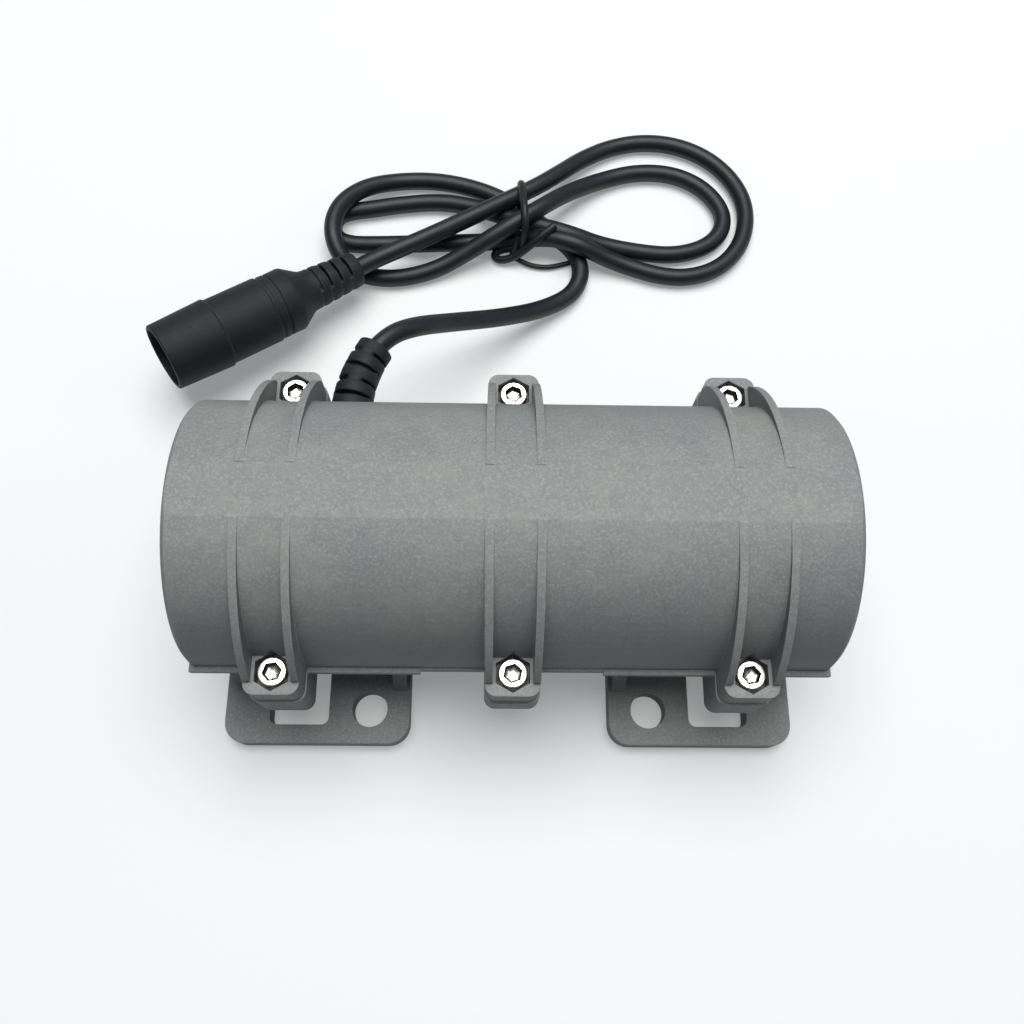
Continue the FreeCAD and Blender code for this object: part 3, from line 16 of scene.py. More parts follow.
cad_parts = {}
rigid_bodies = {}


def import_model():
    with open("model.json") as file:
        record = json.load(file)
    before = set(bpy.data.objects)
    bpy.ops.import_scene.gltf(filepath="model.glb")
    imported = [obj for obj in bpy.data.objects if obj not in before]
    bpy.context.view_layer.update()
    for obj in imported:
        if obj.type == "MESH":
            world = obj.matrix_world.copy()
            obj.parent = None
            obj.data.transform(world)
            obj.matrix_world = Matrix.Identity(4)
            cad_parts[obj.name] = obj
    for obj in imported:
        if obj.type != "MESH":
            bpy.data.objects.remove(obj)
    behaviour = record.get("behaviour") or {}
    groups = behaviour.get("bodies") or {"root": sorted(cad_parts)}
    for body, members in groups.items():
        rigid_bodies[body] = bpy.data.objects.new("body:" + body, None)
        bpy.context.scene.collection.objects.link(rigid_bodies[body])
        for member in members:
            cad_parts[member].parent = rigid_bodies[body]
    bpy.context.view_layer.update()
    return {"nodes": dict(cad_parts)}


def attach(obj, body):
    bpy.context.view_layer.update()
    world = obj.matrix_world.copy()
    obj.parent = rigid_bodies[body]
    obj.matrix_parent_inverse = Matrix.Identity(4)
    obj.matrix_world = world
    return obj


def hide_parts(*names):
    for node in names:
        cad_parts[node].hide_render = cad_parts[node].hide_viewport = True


for leftover in list(bpy.data.objects):
    bpy.data.objects.remove(leftover, do_unlink=True)
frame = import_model()
nodes = frame["nodes"]
MM = 0.001

# %% [markdown]
# ## The camera
# The motor is seen from almost straight above, a little from the front, with a short lens close
# by: the barrel looks wider near the middle than at its ends. An orientation is three
# directions. `back` points from the motor to the camera, and the other two follow from it and
# from a small roll.

# %% Camera
LOOK_AT = Vector((-0.19, 3.65, 30.0)) * MM
DISTANCE = 179.65 * MM
ELEVATION, AZIMUTH, ROLL = math.radians(70.73), math.radians(-3.79), math.radians(4.20)
FOCAL_LENGTH, SENSOR_WIDTH = 33.8, 36.0                        # the lens, in millimetres
NEAREST, FARTHEST = 0.005, 20.0                                # what it sees, in metres

back = Vector((math.sin(AZIMUTH) * math.cos(ELEVATION),
               -math.cos(AZIMUTH) * math.cos(ELEVATION), math.sin(ELEVATION)))
level = Vector((0, 0, 1)).cross(back).normalized()
rise = back.cross(level)
right = math.cos(ROLL) * level + math.sin(ROLL) * rise
up = math.cos(ROLL) * rise - math.sin(ROLL) * level

lens = bpy.data.cameras.new("camera")
lens.lens, lens.sensor_width = FOCAL_LENGTH, SENSOR_WIDTH
lens.clip_start, lens.clip_end = NEAREST, FARTHEST
camera = bpy.data.objects.new("camera", lens)
bpy.context.scene.collection.objects.link(camera)
turn = Matrix((right, up, back)).transposed().to_4x4()
camera.matrix_world = Matrix.Translation(LOOK_AT + back * DISTANCE) @ turn
bpy.context.scene.camera = camera
print("camera at", [round(v, 4) for v in camera.matrix_world.translation])

# %% [markdown]
# ## Shader maths as plain arithmetic
# A finish is a small network of nodes. Writing it out node by node hides the idea, so one class
# wraps a socket: adding, multiplying or taking it from 1 adds the Math node. Every other node
# comes from `Finish.add`, which takes its type, its settings and its sockets.

# %% Sockets that do arithmetic
class Level:
    """A number that changes over a surface."""

    def __init__(self, finish, socket):
        self.finish, self.socket = finish, socket

    def math(self, operation, *values):
        return self.finish.add("ShaderNodeMath", {"operation": operation}, *values)

    def __add__(self, other):
        return self.math("ADD", self, other)

    __radd__ = __add__

    def __sub__(self, other):
        return self.math("SUBTRACT", self, other)

    def __rsub__(self, other):
        return self.math("SUBTRACT", other, self)

    def __mul__(self, other):
        return self.math("MULTIPLY", self, other)

    __rmul__ = __mul__

    def __pow__(self, other):
        return self.math("POWER", self, other)

    def absolute(self):
        return self.math("ABSOLUTE", self)

    def between(self, low, high):
        """0 below `low`, 1 above `high`, and a soft step between them."""
        return self.finish.add("ShaderNodeMapRange", {"interpolation_type": "SMOOTHSTEP"},
                               self, low, high, 0.0, 1.0)


class Finish:
    """A material with one Principled shader, whose plain values are set on its own sockets."""

    def __init__(self, name, colour, **constants):
        self.material = bpy.data.materials.new(name)
        self.material.use_nodes = True
        self.tree = self.material.node_tree
        self.shader = self.tree.nodes["Principled BSDF"]
        self.shader.inputs["Base Color"].default_value = (*colour, 1)
        for label, value in constants.items():
            self.shader.inputs[label.title()].default_value = value
        self.place = self.add("ShaderNodeTexCoord", {}, out="Object")

    def add(self, kind, settings, *values, out=0, **named):
        node = self.tree.nodes.new(kind)
        for setting, value in settings.items():
            setattr(node, setting, value)
        sockets = [socket for socket in node.inputs if socket.enabled]
        for socket, value in list(zip(sockets, values)) + [
                (next(s for s in sockets if s.name == name), value)
                for name, value in named.items()]:
            if isinstance(value, Level):
                self.tree.links.new(value.socket, socket)
            elif value is not None:
                socket.default_value = value
        results = [socket for socket in node.outputs if socket.enabled]
        found = next(s for s in results if s.name == out) if isinstance(out, str) else results[out]
        return Level(self, found)

    def noise(self, size, detail=3.0, roughness=0.55, distortion=0.0):
        """Noise from 0 to 1 whose lumps are about `size` across, in metres."""
        return self.add("ShaderNodeTexNoise", {"noise_dimensions": "3D"}, self.place,
                        Scale=1 / size, Detail=detail, Roughness=roughness,
                        Distortion=distortion)

    def grains(self, size):
        """Distance to the nearest of many scattered points, about 0 to 1."""
        return self.add("ShaderNodeTexVoronoi", {"voronoi_dimensions": "3D"}, self.place,
                        Scale=1 / size, out="Distance")

    def mix(self, amount, low, high):
        """Blend two colours."""
        pair = [value if isinstance(value, Level) else (*value, 1) for value in (low, high)]
        return self.add("ShaderNodeMix", {"data_type": "RGBA"}, amount, *pair)

    def drive(self, socket, value):
        self.tree.links.new(value.socket, self.shader.inputs[socket])

    def soft_edges(self, radius):
        """The normal of the same surface with its edges rounded off."""
        return self.add("ShaderNodeBevel", {"samples": 6}, radius)

    def edge_mask(self, rounded):
        """1 on edges and corners, where the rounded normal leaves the true one."""
        true = self.add("ShaderNodeNewGeometry", {}, out="True Normal")
        agree = self.add("ShaderNodeVectorMath", {"operation": "DOT_PRODUCT"},
                         rounded, true, out="Value")
        return (1.0 - agree).between(0.01, 0.16)

    def bump(self, height, depth, strength=1.0, normal=None):
        self.drive("Normal", self.add("ShaderNodeBump", {}, Strength=strength, Distance=depth,
                                      Height=height, Normal=normal))


def grey(level):
    """A neutral colour from how light it looks, 0 to 255."""
    value = level / 255
    linear = value / 12.92 if value < 0.04045 else ((value + 0.055) / 1.055) ** 2.4
    return (linear, linear, linear)


def tint(red, green, blue):
    """A colour from how light each of its parts looks, 0 to 255."""
    return tuple(grey(value)[0] for value in (red, green, blue))


print("a mid grey is", round(grey(128)[0], 3))

# %% [markdown]
# ## Moulded nylon
# The two halves of the barrel are glass-filled nylon: an even mid grey up close, but cloudy
# over a few centimetres, with pale scuffs and specks where it has been handled, and edges
# rubbed lighter. The cloud is slow noise, the specks are scattered points let through only in
# patches, and the worn edges come from comparing each normal with that of a rounded copy of
# the surface, so they follow every rib and hole by themselves. Faces that look up carry more
# scuffs and specks, and faces that look sideways or down are painted a darker bluish grey:
# that is painted shade, for the side of the barrel that the overhead lamp leaves in shade.

# %% Housing finish
CLOUD, MOTTLE, SCUFF, PATCH, SPECK = 22 * MM, 3.2 * MM, 0.5 * MM, 9 * MM, 0.55 * MM
STREAK, CHIP, GRAIN, GRAIN_DEPTH = 1.3 * MM, 1.6 * MM, 0.35 * MM, 0.04 * MM
NYLON_EDGE = 0.45 * MM


def moulded_nylon():
    nylon = Finish("grey_nylon", grey(138), roughness=0.62)
    rounded = nylon.soft_edges(NYLON_EDGE)
    edges = nylon.edge_mask(rounded)
    facing = nylon.add("ShaderNodeSeparateXYZ", {},
                       nylon.add("ShaderNodeNewGeometry", {}, out="True Normal"), out="Z")
    cloud = nylon.noise(CLOUD, 4.0, 0.6).between(0.3, 0.72)
    mottle = nylon.noise(MOTTLE, 3.0, 0.6).between(0.3, 0.75)
    scuffs = nylon.noise(SCUFF, 4.0, 0.65).between(0.42, 0.72)
    patches = nylon.noise(PATCH, 2.0, 0.6).between(0.40, 0.62)
    specks = (1.0 - nylon.grains(SPECK).between(0.06, 0.22)) * patches
    streaks = nylon.noise(STREAK, 3.0, 0.6, distortion=1.8).between(0.64, 0.74) * patches
    top = facing.between(0.2, 0.95)
    colour = nylon.mix(cloud, tint(127, 128, 129), tint(142, 144, 140))
    colour = nylon.mix(mottle * 0.45, colour, tint(118, 118, 119))
    colour = nylon.mix(scuffs * (0.2 + 0.35 * top), colour, tint(166, 167, 163))
    # painted shade: faces that look sideways or down are darkened towards a bluish grey
    colour = nylon.mix((1.0 - top) * 0.55, colour, tint(82, 84, 88))
    colour = nylon.mix(specks * (0.10 + 0.25 * top), colour, tint(196, 199, 193))
    colour = nylon.mix(streaks * (0.08 + 0.22 * top), colour, tint(186, 188, 183))
    chipped = edges * nylon.noise(CHIP, 3.0, 0.6).between(0.2, 0.7)
    colour = nylon.mix(chipped * 0.6, colour, tint(182, 184, 180))
    nylon.drive("Base Color", colour)
    nylon.drive("Roughness", 0.56 + 0.12 * cloud - 0.06 * specks)
    grain = nylon.noise(GRAIN, 4.0, 0.65)
    nylon.bump(grain + 0.6 * mottle, GRAIN_DEPTH, 0.5, rounded)
    return nylon


housing_finish = moulded_nylon()
for name in ("upper_shell", "lower_shell"):
    nodes[name].data.materials[0] = housing_finish.material
print("nylon nodes:", len(housing_finish.tree.nodes))

# %% [markdown]
# ## Black rubber and black plastic
# The cord's jacket is smooth soft vinyl with a low shine. The strain relief and the connector
# are moulded with a fine matt grain, and their edges are painted lighter: partly wear, partly
# a painted highlight.

# %% Black finishes
BLACK_EDGE = 0.3 * MM


def blue_black(level):
    """Black plastics are a little blue."""
    return tint(level - 3, level, level + 6)


def black_plastic(name, level, roughness, grain, depth, worn_and_highlit_edge_level):
    """Plastic with bumps `grain` across, whose edges are lightened to
    `worn_and_highlit_edge_level`: partly wear, partly a painted highlight.
    """
    plastic = Finish(name, blue_black(level), roughness=roughness)
    rounded = plastic.soft_edges(BLACK_EDGE)
    edges = plastic.edge_mask(rounded)
    dust = (1.0 - plastic.grains(grain * 2.3).between(0.08, 0.2)) * \
        plastic.noise(6 * MM, 2.0).between(0.5, 0.7)
    colour = plastic.mix(plastic.noise(8 * MM, 3.0).between(0.3, 0.7), blue_black(level - 3),
                         blue_black(level + 4))
    colour = plastic.mix(dust * 0.35, colour, blue_black(level + 40))
    # painted highlight and wear: edges and corners are lightened, brightest on the connector's rim
    colour = plastic.mix(edges * 0.6, colour, blue_black(worn_and_highlit_edge_level))
    plastic.drive("Base Color", colour)
    plastic.drive("Roughness", roughness + 0.1 * plastic.noise(3 * MM, 3.0) - 0.05)
    plastic.bump(plastic.noise(grain, 3.0, 0.6), depth, 0.6, rounded)
    return plastic


cord_finish = black_plastic("cord_vinyl", 20, 0.48, 1.2 * MM, 0.02 * MM, 26)
gland_finish = black_plastic("gland_rubber", 18, 0.66, 0.3 * MM, 0.05 * MM, 42)
connector_finish = black_plastic("connector_plastic", 15, 0.68, 0.28 * MM, 0.07 * MM, 104)
tie_finish = black_plastic("tie_plastic", 18, 0.5, 0.4 * MM, 0.02 * MM, 30)
for name in ("connector_shell", "connector_core"):
    nodes[name].data.materials[0] = connector_finish.material
print("black finishes ready")

# %% [markdown]
# ## Metals
# Steel screws are bright and brushed smooth by turning. A metal shows what stands round it, so
# its own detail is only a little unevenness in colour and shine.

# %% Metal finishes
def metal(name, colour, roughness, lump, depth=0.01 * MM):
    finish = Finish(name, colour, metallic=1.0, roughness=roughness)
    stain = finish.noise(lump, 4.0, 0.6)
    darker = tuple(value * 0.72 for value in colour)
    finish.drive("Base Color", finish.mix(stain.between(0.25, 0.7), darker, colour))
    finish.drive("Roughness", roughness - 0.06 + 0.14 * stain)
    finish.bump(finish.noise(lump / 4, 3.0), depth, 0.5)
    return finish


LUG_SPACING, SCREW_ROW, AXIS_HEIGHT = 41.8 * MM, 26.9 * MM, 26.25 * MM
HEAD_TOP, SOCKET_REACH = AXIS_HEIGHT + 6.1 * MM, 1.95 * MM
BRIGHT_STEEL, BROWN = (0.88, 0.86, 0.82), (0.10, 0.075, 0.055)


def screw_steel():
    """Bright steel, darkened to brown in the six key sockets, most on their walls."""
    steel = metal("screw_steel", BRIGHT_STEEL, 0.24, 2.4 * MM, 0.004 * MM)
    x, y, z = (steel.add("ShaderNodeSeparateXYZ", {}, steel.place, out=axis) for axis in "XYZ")
    column = x.absolute()
    off_x = column.math("MINIMUM", column, (column - LUG_SPACING).absolute())
    off_y = y.absolute() - SCREW_ROW
    reach = (off_x * off_x + off_y * off_y) ** 0.5
    inside = (1.0 - reach.between(SOCKET_REACH - 0.1 * MM, SOCKET_REACH)) * \
        (1.0 - z.between(HEAD_TOP - 0.06 * MM, HEAD_TOP - 0.01 * MM))
    walls = z.between(HEAD_TOP - 1.6 * MM, HEAD_TOP - 1.5 * MM)
    steel.drive("Base Color", steel.mix(inside * (0.6 + 0.4 * walls), BRIGHT_STEEL, BROWN))
    return steel


screw_finish = screw_steel()
nut_finish = metal("nut_steel", (0.66, 0.65, 0.63), 0.34, 1.0 * MM)
inside_metals = {
    "motor_can": metal("can_steel", (0.55, 0.55, 0.56), 0.32, 6 * MM),
    "left_bell": metal("bell_alloy", (0.70, 0.70, 0.71), 0.42, 4 * MM, 0.03 * MM),
    "rotor_magnets": metal("magnet_nickel", (0.58, 0.57, 0.55), 0.28, 3 * MM),
    "rotor_shaft": metal("ground_shaft", (0.72, 0.72, 0.73), 0.2, 3 * MM),
    "left_weight": metal("weight_steel", (0.46, 0.45, 0.44), 0.38, 4 * MM, 0.03 * MM),
    "left_outer_race": metal("bearing_steel", (0.74, 0.74, 0.75), 0.16, 2 * MM),
    "connector_contact": metal("contact_nickel", (0.80, 0.77, 0.70), 0.22, 2 * MM)}
print(len(inside_metals) + 2, "metals")

# %% [markdown]
# ## What the closed barrel hides
# The laminations are a stack of thin sheets, so a fine wave along the shaft darkens their
# joints. The windings are many turns of lacquered wire, which a wave across each coil shows.

# %% Inner finishes
def layered(name, colour, roughness, pitch, metallic, across):
    """A surface with fine parallel lines, `pitch` apart, along one axis."""
    finish = Finish(name, colour, metallic=metallic, roughness=roughness)
    phase = finish.add("ShaderNodeSeparateXYZ", {}, finish.place, out=across) * \
        (2 * math.pi / pitch)
    line = phase.math("SINE", phase).between(-0.9, -0.2)
    dark = tuple(value * 0.45 for value in colour)
    finish.drive("Base Color", finish.mix(line, dark, colour))
    finish.bump(line, 0.05 * MM, 0.6)
    return finish


def painted(name, colour, roughness, lump):
    """A plain moulded or painted part with a slight cloudiness."""
    finish = Finish(name, colour, roughness=roughness)
    cloud = finish.noise(lump, 3.0)
    finish.drive("Base Color", finish.mix(cloud, tuple(v * 0.8 for v in colour), colour))
    finish.bump(finish.noise(lump / 5, 3.0), 0.02 * MM, 0.5)
    return finish


laminated = layered("laminations", (0.36, 0.36, 0.38), 0.4, 0.5 * MM, 1.0, "X")
copper = layered("copper_wire", tint(184, 98, 52), 0.3, 0.45 * MM, 0.9, "Z")
inside = {**inside_metals,
          "stator_core": laminated, "rotor_core": laminated, "stator_windings": copper,
          "left_insulator": painted("insulator_nylon", tint(214, 205, 182), 0.5, 4 * MM),
          "driver_board": painted("board_green", tint(34, 84, 56), 0.45, 5 * MM),
          "driver_parts": painted("chip_black", tint(30, 30, 32), 0.5, 2 * MM),
          "red_lead": painted("lead_red", tint(176, 30, 28), 0.4, 2 * MM),
          "black_lead": painted("lead_black", tint(26, 26, 28), 0.4, 2 * MM)}
same = {"right_bell": "left_bell", "right_insulator": "left_insulator",
        "right_weight": "left_weight", "left_grub_screw": "rotor_shaft",
        "right_grub_screw": "rotor_shaft", "left_circlip": "motor_can",
        "right_circlip": "motor_can", "preload_washer": "motor_can",
        "connector_pin": "connector_contact", "right_outer_race": "left_outer_race",
        "left_inner_race": "left_outer_race", "right_inner_race": "left_outer_race",
        "left_ball_set": "left_outer_race", "right_ball_set": "left_outer_race"}
for name, like in same.items():
    inside[name] = inside[like]
for name, finish in inside.items():
    nodes[name].data.materials[0] = finish.material
print(len(inside), "inner nodes dressed")

# %% [markdown]
# ## The cord
# The cord is one soft line: out of the strain relief, down to the floor, then wound into a
# flat figure of eight and into the connector. A NURBS spline bends as vinyl does, with no
# corners. Its points are the route, given one by one; the line cuts inside them, so they lie
# a little further out than the cord does. Where strands cross, the upper ones are lifted over.

# %% Cord
CORD_RADIUS = 2.05 * MM
FLAT = 2.05                                   # middle of a cord that lies on the floor
LEAD = [(-27.58, 39.72, 26.25), (-25.4, 42.7, 26.2), (-20.2, 46.4, 23.8), (-12.4, 51.9, 16.2),
        (-2.2, 57.3, 9.2), (7.2, 62.6, 4.0), (14.4, 67.7, FLAT), (17.0, 73.4, FLAT),
        (15.8, 79.2, FLAT), (10.4, 84.6, FLAT), (3.4, 91.0, FLAT)]
OUTER_LEFT = [(-5.2, 96.4, FLAT), (-16.0, 99.5, FLAT), (-26.5, 99.6, FLAT),
              (-36.2, 95.4, 4.7), (-42.2, 87.6, 6.4), (-42.2, 78.6, 6.2),
              (-37.4, 72.8, 2.3), (-28.4, 71.2, FLAT), (-18.6, 73.7, FLAT),
              (-11.0, 77.4, 4.0), (-2.5, 81.4, 7.6)]
INNER_RIGHT = [(5.5, 86.6, 8.6), (13.2, 94.0, 5.6), (21.8, 100.3, 2.4), (31.2, 103.4, FLAT),
               (40.4, 102.9, FLAT), (47.6, 98.9, FLAT), (51.9, 92.4, FLAT),
               (51.6, 86.6, FLAT), (47.4, 81.8, FLAT), (39.6, 79.2, FLAT),
               (31.0, 79.9, FLAT), (21.6, 81.4, 2.6), (14.0, 82.6, 5.4), (6.5, 84.6, 5.6)]
INNER_LEFT = [(-1.5, 88.4, 3.6), (-8.5, 92.0, 2.2), (-17.5, 93.6, FLAT), (-27.5, 92.4, FLAT),
              (-33.6, 91.1, FLAT), (-38.3, 90.4, FLAT), (-41.8, 89.1, FLAT), (-43.1, 85.7, FLAT),
              (-41.8, 82.3, FLAT), (-38.3, 80.9, FLAT), (-33.6, 80.9, FLAT), (-26.0, 81.2, FLAT),
              (-15.0, 81.8, FLAT), (-5.0, 82.2, FLAT), (3.0, 82.6, 3.0)]
OUTER_RIGHT = [(9.5, 80.8, 6.4), (16.0, 78.8, 6.6), (22.5, 77.3, 3.4), (29.0, 75.6, FLAT),
               (35.6, 73.5, FLAT), (42.6, 73.1, FLAT), (50.0, 75.8, FLAT), (55.4, 81.8, FLAT),
               (57.6, 89.0, FLAT), (57.3, 95.8, FLAT), (54.2, 102.6, FLAT),
               (48.6, 108.3, FLAT), (41.0, 111.8, FLAT), (32.6, 112.5, FLAT),
               (24.6, 110.6, FLAT), (17.6, 106.2, 3.0), (12.0, 100.6, 4.8)]
TO_CONNECTOR = [(5.5, 94.8, 6.3), (-2.5, 90.0, 6.8), (-10.5, 85.0, 7.2), (-19.0, 79.9, 7.6),
                (-26.0, 76.0, 7.8), (-31.2, 73.4, 7.6), (-35.6, 70.3, 8.13),
                (-37.9, 68.6, 8.55)]
route = [Vector(point) * MM for point in
         LEAD + OUTER_LEFT + INNER_RIGHT + INNER_LEFT + OUTER_RIGHT + TO_CONNECTOR]


def soft_line(name, points, radius, sides=6):
    """A round cord along a NURBS spline that these points steer."""
    curve = bpy.data.curves.new(name, "CURVE")
    curve.dimensions = "3D"
    curve.bevel_depth, curve.bevel_resolution = radius, sides
    curve.use_fill_caps = True
    curve.resolution_u = 10
    spline = curve.splines.new("NURBS")
    spline.points.add(len(points) - 1)
    for spot, point in zip(spline.points, points):
        spot.co = (*point, 1)
    spline.order_u = 3
    spline.use_endpoint_u = True
    made = bpy.data.objects.new(name, curve)
    bpy.context.scene.collection.objects.link(made)
    return made


power_cord = soft_line("power_cord", route, CORD_RADIUS, 8)
power_cord.data.materials.append(cord_finish.material)
print("cord points:", len(route))

# %% [markdown]
# ## Shapes made ring by ring
# Screws, nuts and the rubber boot are all stacks of rings: each ring has a height and a
# radius, and the radius may change round the ring, as on a hexagon or a slotted boot. Joining
# neighbouring rings with quads gives a clean closed shape.

# %% Ring stacks
def round_ring(radius):
    return lambda angle: radius


def hexagon_ring(flats, most=None):
    """Distance to the side of a hexagon, cut off at `most` where a chamfer rounds its corners."""
    def reach(angle):
        turned = (angle + math.pi / 6) % (math.pi / 3) - math.pi / 6
        edge = flats / 2 / math.cos(turned)
        return min(edge, most) if most else edge
    return reach


def ring_stack(name, rings, place=Matrix.Identity(4), count=72, finish=None, sharp=35):
    """A mesh through rings of (height, radius at an angle), closed to a point at both ends."""
    mesh = bpy.data.meshes.new(name)
    work = bmesh.new()
    loops = []
    for height, reach in rings:
        if reach is None:
            loops.append([work.verts.new(place @ Vector((0, 0, height)))])
            continue
        angles = [2 * math.pi * step / count for step in range(count)]
        loops.append([work.verts.new(place @ Vector((reach(a) * math.cos(a),
                                                     reach(a) * math.sin(a), height)))
                      for a in angles])
    for low, high in zip(loops, loops[1:]):
        for step in range(count):
            after = (step + 1) % count
            corners = [low[step % len(low)], low[after % len(low)],
                       high[after % len(high)], high[step % len(high)]]
            face = list(dict.fromkeys(corners))
            if len(face) > 2:
                work.faces.new(face)
    bmesh.ops.recalc_face_normals(work, faces=work.faces)
    work.to_mesh(mesh)
    work.free()
    for face in mesh.polygons:
        face.use_smooth = True
    mesh.set_sharp_from_angle(angle=math.radians(sharp))
    made = bpy.data.objects.new(name, mesh)
    bpy.context.scene.collection.objects.link(made)
    if finish:
        mesh.materials.append(finish.material)
    return made


def rounded_edge(height, radius, size, steps=4):
    """Rings that turn a corner of `size`, from the side at `height` to the face above it."""
    rings = []
    for step in range(steps + 1):
        angle = math.pi / 2 * step / steps
        rings.append((height + size * math.sin(angle),
                      round_ring(radius - size + size * math.cos(angle))))
    return rings


# %% [markdown]
# ## Six cap screws and their nuts
# The halves are clamped by six M3 screws. They are one shape six times, so the screw is made
# once at the origin and Geometry Nodes puts a copy on each place, with its own small turn, as
# a hand leaves them. The result is made real, because copies are lost on export.

# %% One screw and one nut
HEAD_RADIUS, HEAD_HEIGHT, KEY_FLATS, KEY_DEPTH = 2.6 * MM, 3.0 * MM, 2.5 * MM, 1.55 * MM
KEY_CHAMFER, HEAD_EDGE, SHANK, SHANK_RADIUS = 0.6 * MM, 0.3 * MM, 10.0 * MM, 1.5 * MM
PITCH, THREAD_DEPTH, THREAD_LENGTH = 0.5 * MM, 0.24 * MM, 8 * MM
NUT_FLATS, NUT_HEIGHT, NUT_BEVEL = 5.5 * MM, 2.4 * MM, 0.25 * MM


def cap_screw():
    """Its thread is a row of closed grooves, a pitch apart."""
    rings = [(-SHANK, None), (-SHANK, round_ring(1.1 * MM))]
    for groove in range(int(THREAD_LENGTH / PITCH)):
        low = -SHANK + 0.3 * MM + groove * PITCH
        rings += [(low, round_ring(SHANK_RADIUS - THREAD_DEPTH)),
                  (low + PITCH / 2, round_ring(SHANK_RADIUS - 0.02 * MM))]
    rings += [(0, round_ring(SHANK_RADIUS)), (0, round_ring(HEAD_RADIUS - 0.1 * MM)),
              (0.1 * MM, round_ring(HEAD_RADIUS))]
    rings += rounded_edge(HEAD_HEIGHT - HEAD_EDGE, HEAD_RADIUS, HEAD_EDGE, 5)
    rings += [(HEAD_HEIGHT, round_ring(1.9 * MM)),
              (HEAD_HEIGHT, hexagon_ring(KEY_FLATS + KEY_CHAMFER)),
              (HEAD_HEIGHT - KEY_CHAMFER / 2, hexagon_ring(KEY_FLATS)),
              (HEAD_HEIGHT - KEY_DEPTH, hexagon_ring(KEY_FLATS)),
              (HEAD_HEIGHT - KEY_DEPTH - 0.4 * MM, None)]
    return ring_stack("one_cap_screw", rings, count=48)


def hexagon_nut():
    """The stack ends where it began, at the bore, so its first and last rings are joined."""
    corner = NUT_FLATS / 2 / math.cos(math.pi / 6)
    bevelled = hexagon_ring(NUT_FLATS, NUT_FLATS / 2 + 0.05 * MM)
    full = hexagon_ring(NUT_FLATS, corner)
    bore = SHANK_RADIUS + 0.02 * MM
    rings = [(0, round_ring(bore)), (0, bevelled), (NUT_BEVEL, full),
             (NUT_HEIGHT - NUT_BEVEL, full), (NUT_HEIGHT, bevelled),
             (NUT_HEIGHT, round_ring(bore)), (0, round_ring(bore))]
    made = ring_stack("one_nut", rings, count=48)
    work = bmesh.new()
    work.from_mesh(made.data)
    bmesh.ops.remove_doubles(work, verts=work.verts, dist=1e-7)
    bmesh.ops.recalc_face_normals(work, faces=work.faces)
    work.to_mesh(made.data)
    work.free()
    return made


one_screw, one_nut = cap_screw(), hexagon_nut()
print("screw faces:", len(one_screw.data.polygons), "nut faces:", len(one_nut.data.polygons))

# %% Geometry Nodes that set a fastener on every place
class Tree:
    """A Geometry Nodes tree with named inputs."""

    def __init__(self, name, inputs):
        self.group = bpy.data.node_groups.new(name, "GeometryNodeTree")
        self.ids = {}
        for label, kind in inputs.items():
            socket = self.group.interface.new_socket(label, in_out="INPUT", socket_type=kind)
            self.ids[label] = socket.identifier
        self.group.interface.new_socket("Result", in_out="OUTPUT",
                                        socket_type="NodeSocketGeometry")
        self.start = self.group.nodes.new("NodeGroupInput")
        self.end = self.group.nodes.new("NodeGroupOutput")

    def __getitem__(self, label):
        return self.start.outputs[label]

    def add(self, kind, settings=None, out=0, **values):
        node = self.group.nodes.new(kind)
        for setting, value in (settings or {}).items():
            setattr(node, setting, value)
        for label, value in values.items():
            name = label.replace("_", " ")
            socket = next(s for s in node.inputs if s.enabled and s.name == name)
            for item in value if isinstance(value, list) else [value]:
                if isinstance(item, bpy.types.NodeSocket):
                    self.group.links.new(item, socket)
                else:
                    socket.default_value = item
        results = [socket for socket in node.outputs if socket.enabled]
        return next(s for s in results if s.name == out) if isinstance(out, str) else results[out]

    def math(self, operation, *values):
        result = self.add("ShaderNodeMath", {"operation": operation})
        for socket, value in zip(result.node.inputs, values):
            if isinstance(value, bpy.types.NodeSocket):
                self.group.links.new(value, socket)
            else:
                socket.default_value = value
        return result

    def finish(self, geometry, material):
        """Make the copies real, give them a material and send them out."""
        real = self.add("GeometryNodeRealizeInstances", Geometry=geometry)
        dressed = self.add("GeometryNodeSetMaterial", Geometry=real, Material=material)
        self.group.links.new(dressed, self.end.inputs[0])

    def run(self, name, base, **values):
        """Put the tree on a mesh, set its inputs, and keep what it makes as a plain mesh."""
        host = bpy.data.objects.new(name + "_host", base)
        bpy.context.scene.collection.objects.link(host)
        modifier = host.modifiers.new("build", "NODES")
        modifier.node_group = self.group
        for label, value in values.items():
            modifier[self.ids[label.replace("_", " ")]] = value
        bpy.context.view_layer.update()
        ready = host.evaluated_get(bpy.context.evaluated_depsgraph_get())
        mesh = bpy.data.meshes.new_from_object(ready)
        mesh.name = name
        bpy.data.objects.remove(host, do_unlink=True)
        made = bpy.data.objects.new(name, mesh)
        bpy.context.scene.collection.objects.link(made)
        return made


def fastener_tree():
    tree = Tree("set_fasteners", {"Places": "NodeSocketGeometry", "Fastener": "NodeSocketObject",
                                  "Most turn": "NodeSocketFloat", "Seed": "NodeSocketInt",
                                  "Finish": "NodeSocketMaterial"})
    shape = tree.add("GeometryNodeObjectInfo", Object=tree["Fastener"], out="Geometry")
    angle = tree.add("FunctionNodeRandomValue", {"data_type": "FLOAT"}, Min=0.0,
                     Max=tree["Most turn"], Seed=tree["Seed"])
    lean = tree.add("ShaderNodeCombineXYZ", Z=angle)
    copies = tree.add("GeometryNodeInstanceOnPoints", Points=tree["Places"], Instance=shape,
                      Rotation=lean)
    tree.finish(copies, tree["Finish"])
    return tree


HEAD_SEAT, NUT_SEAT = 3.1 * MM, 3.6 * MM


def screw_places(name, height):
    mesh = bpy.data.meshes.new(name)
    mesh.from_pydata([(column * LUG_SPACING, side * SCREW_ROW, height)
                      for column in (-1, 0, 1) for side in (-1, 1)], [], [])
    return mesh


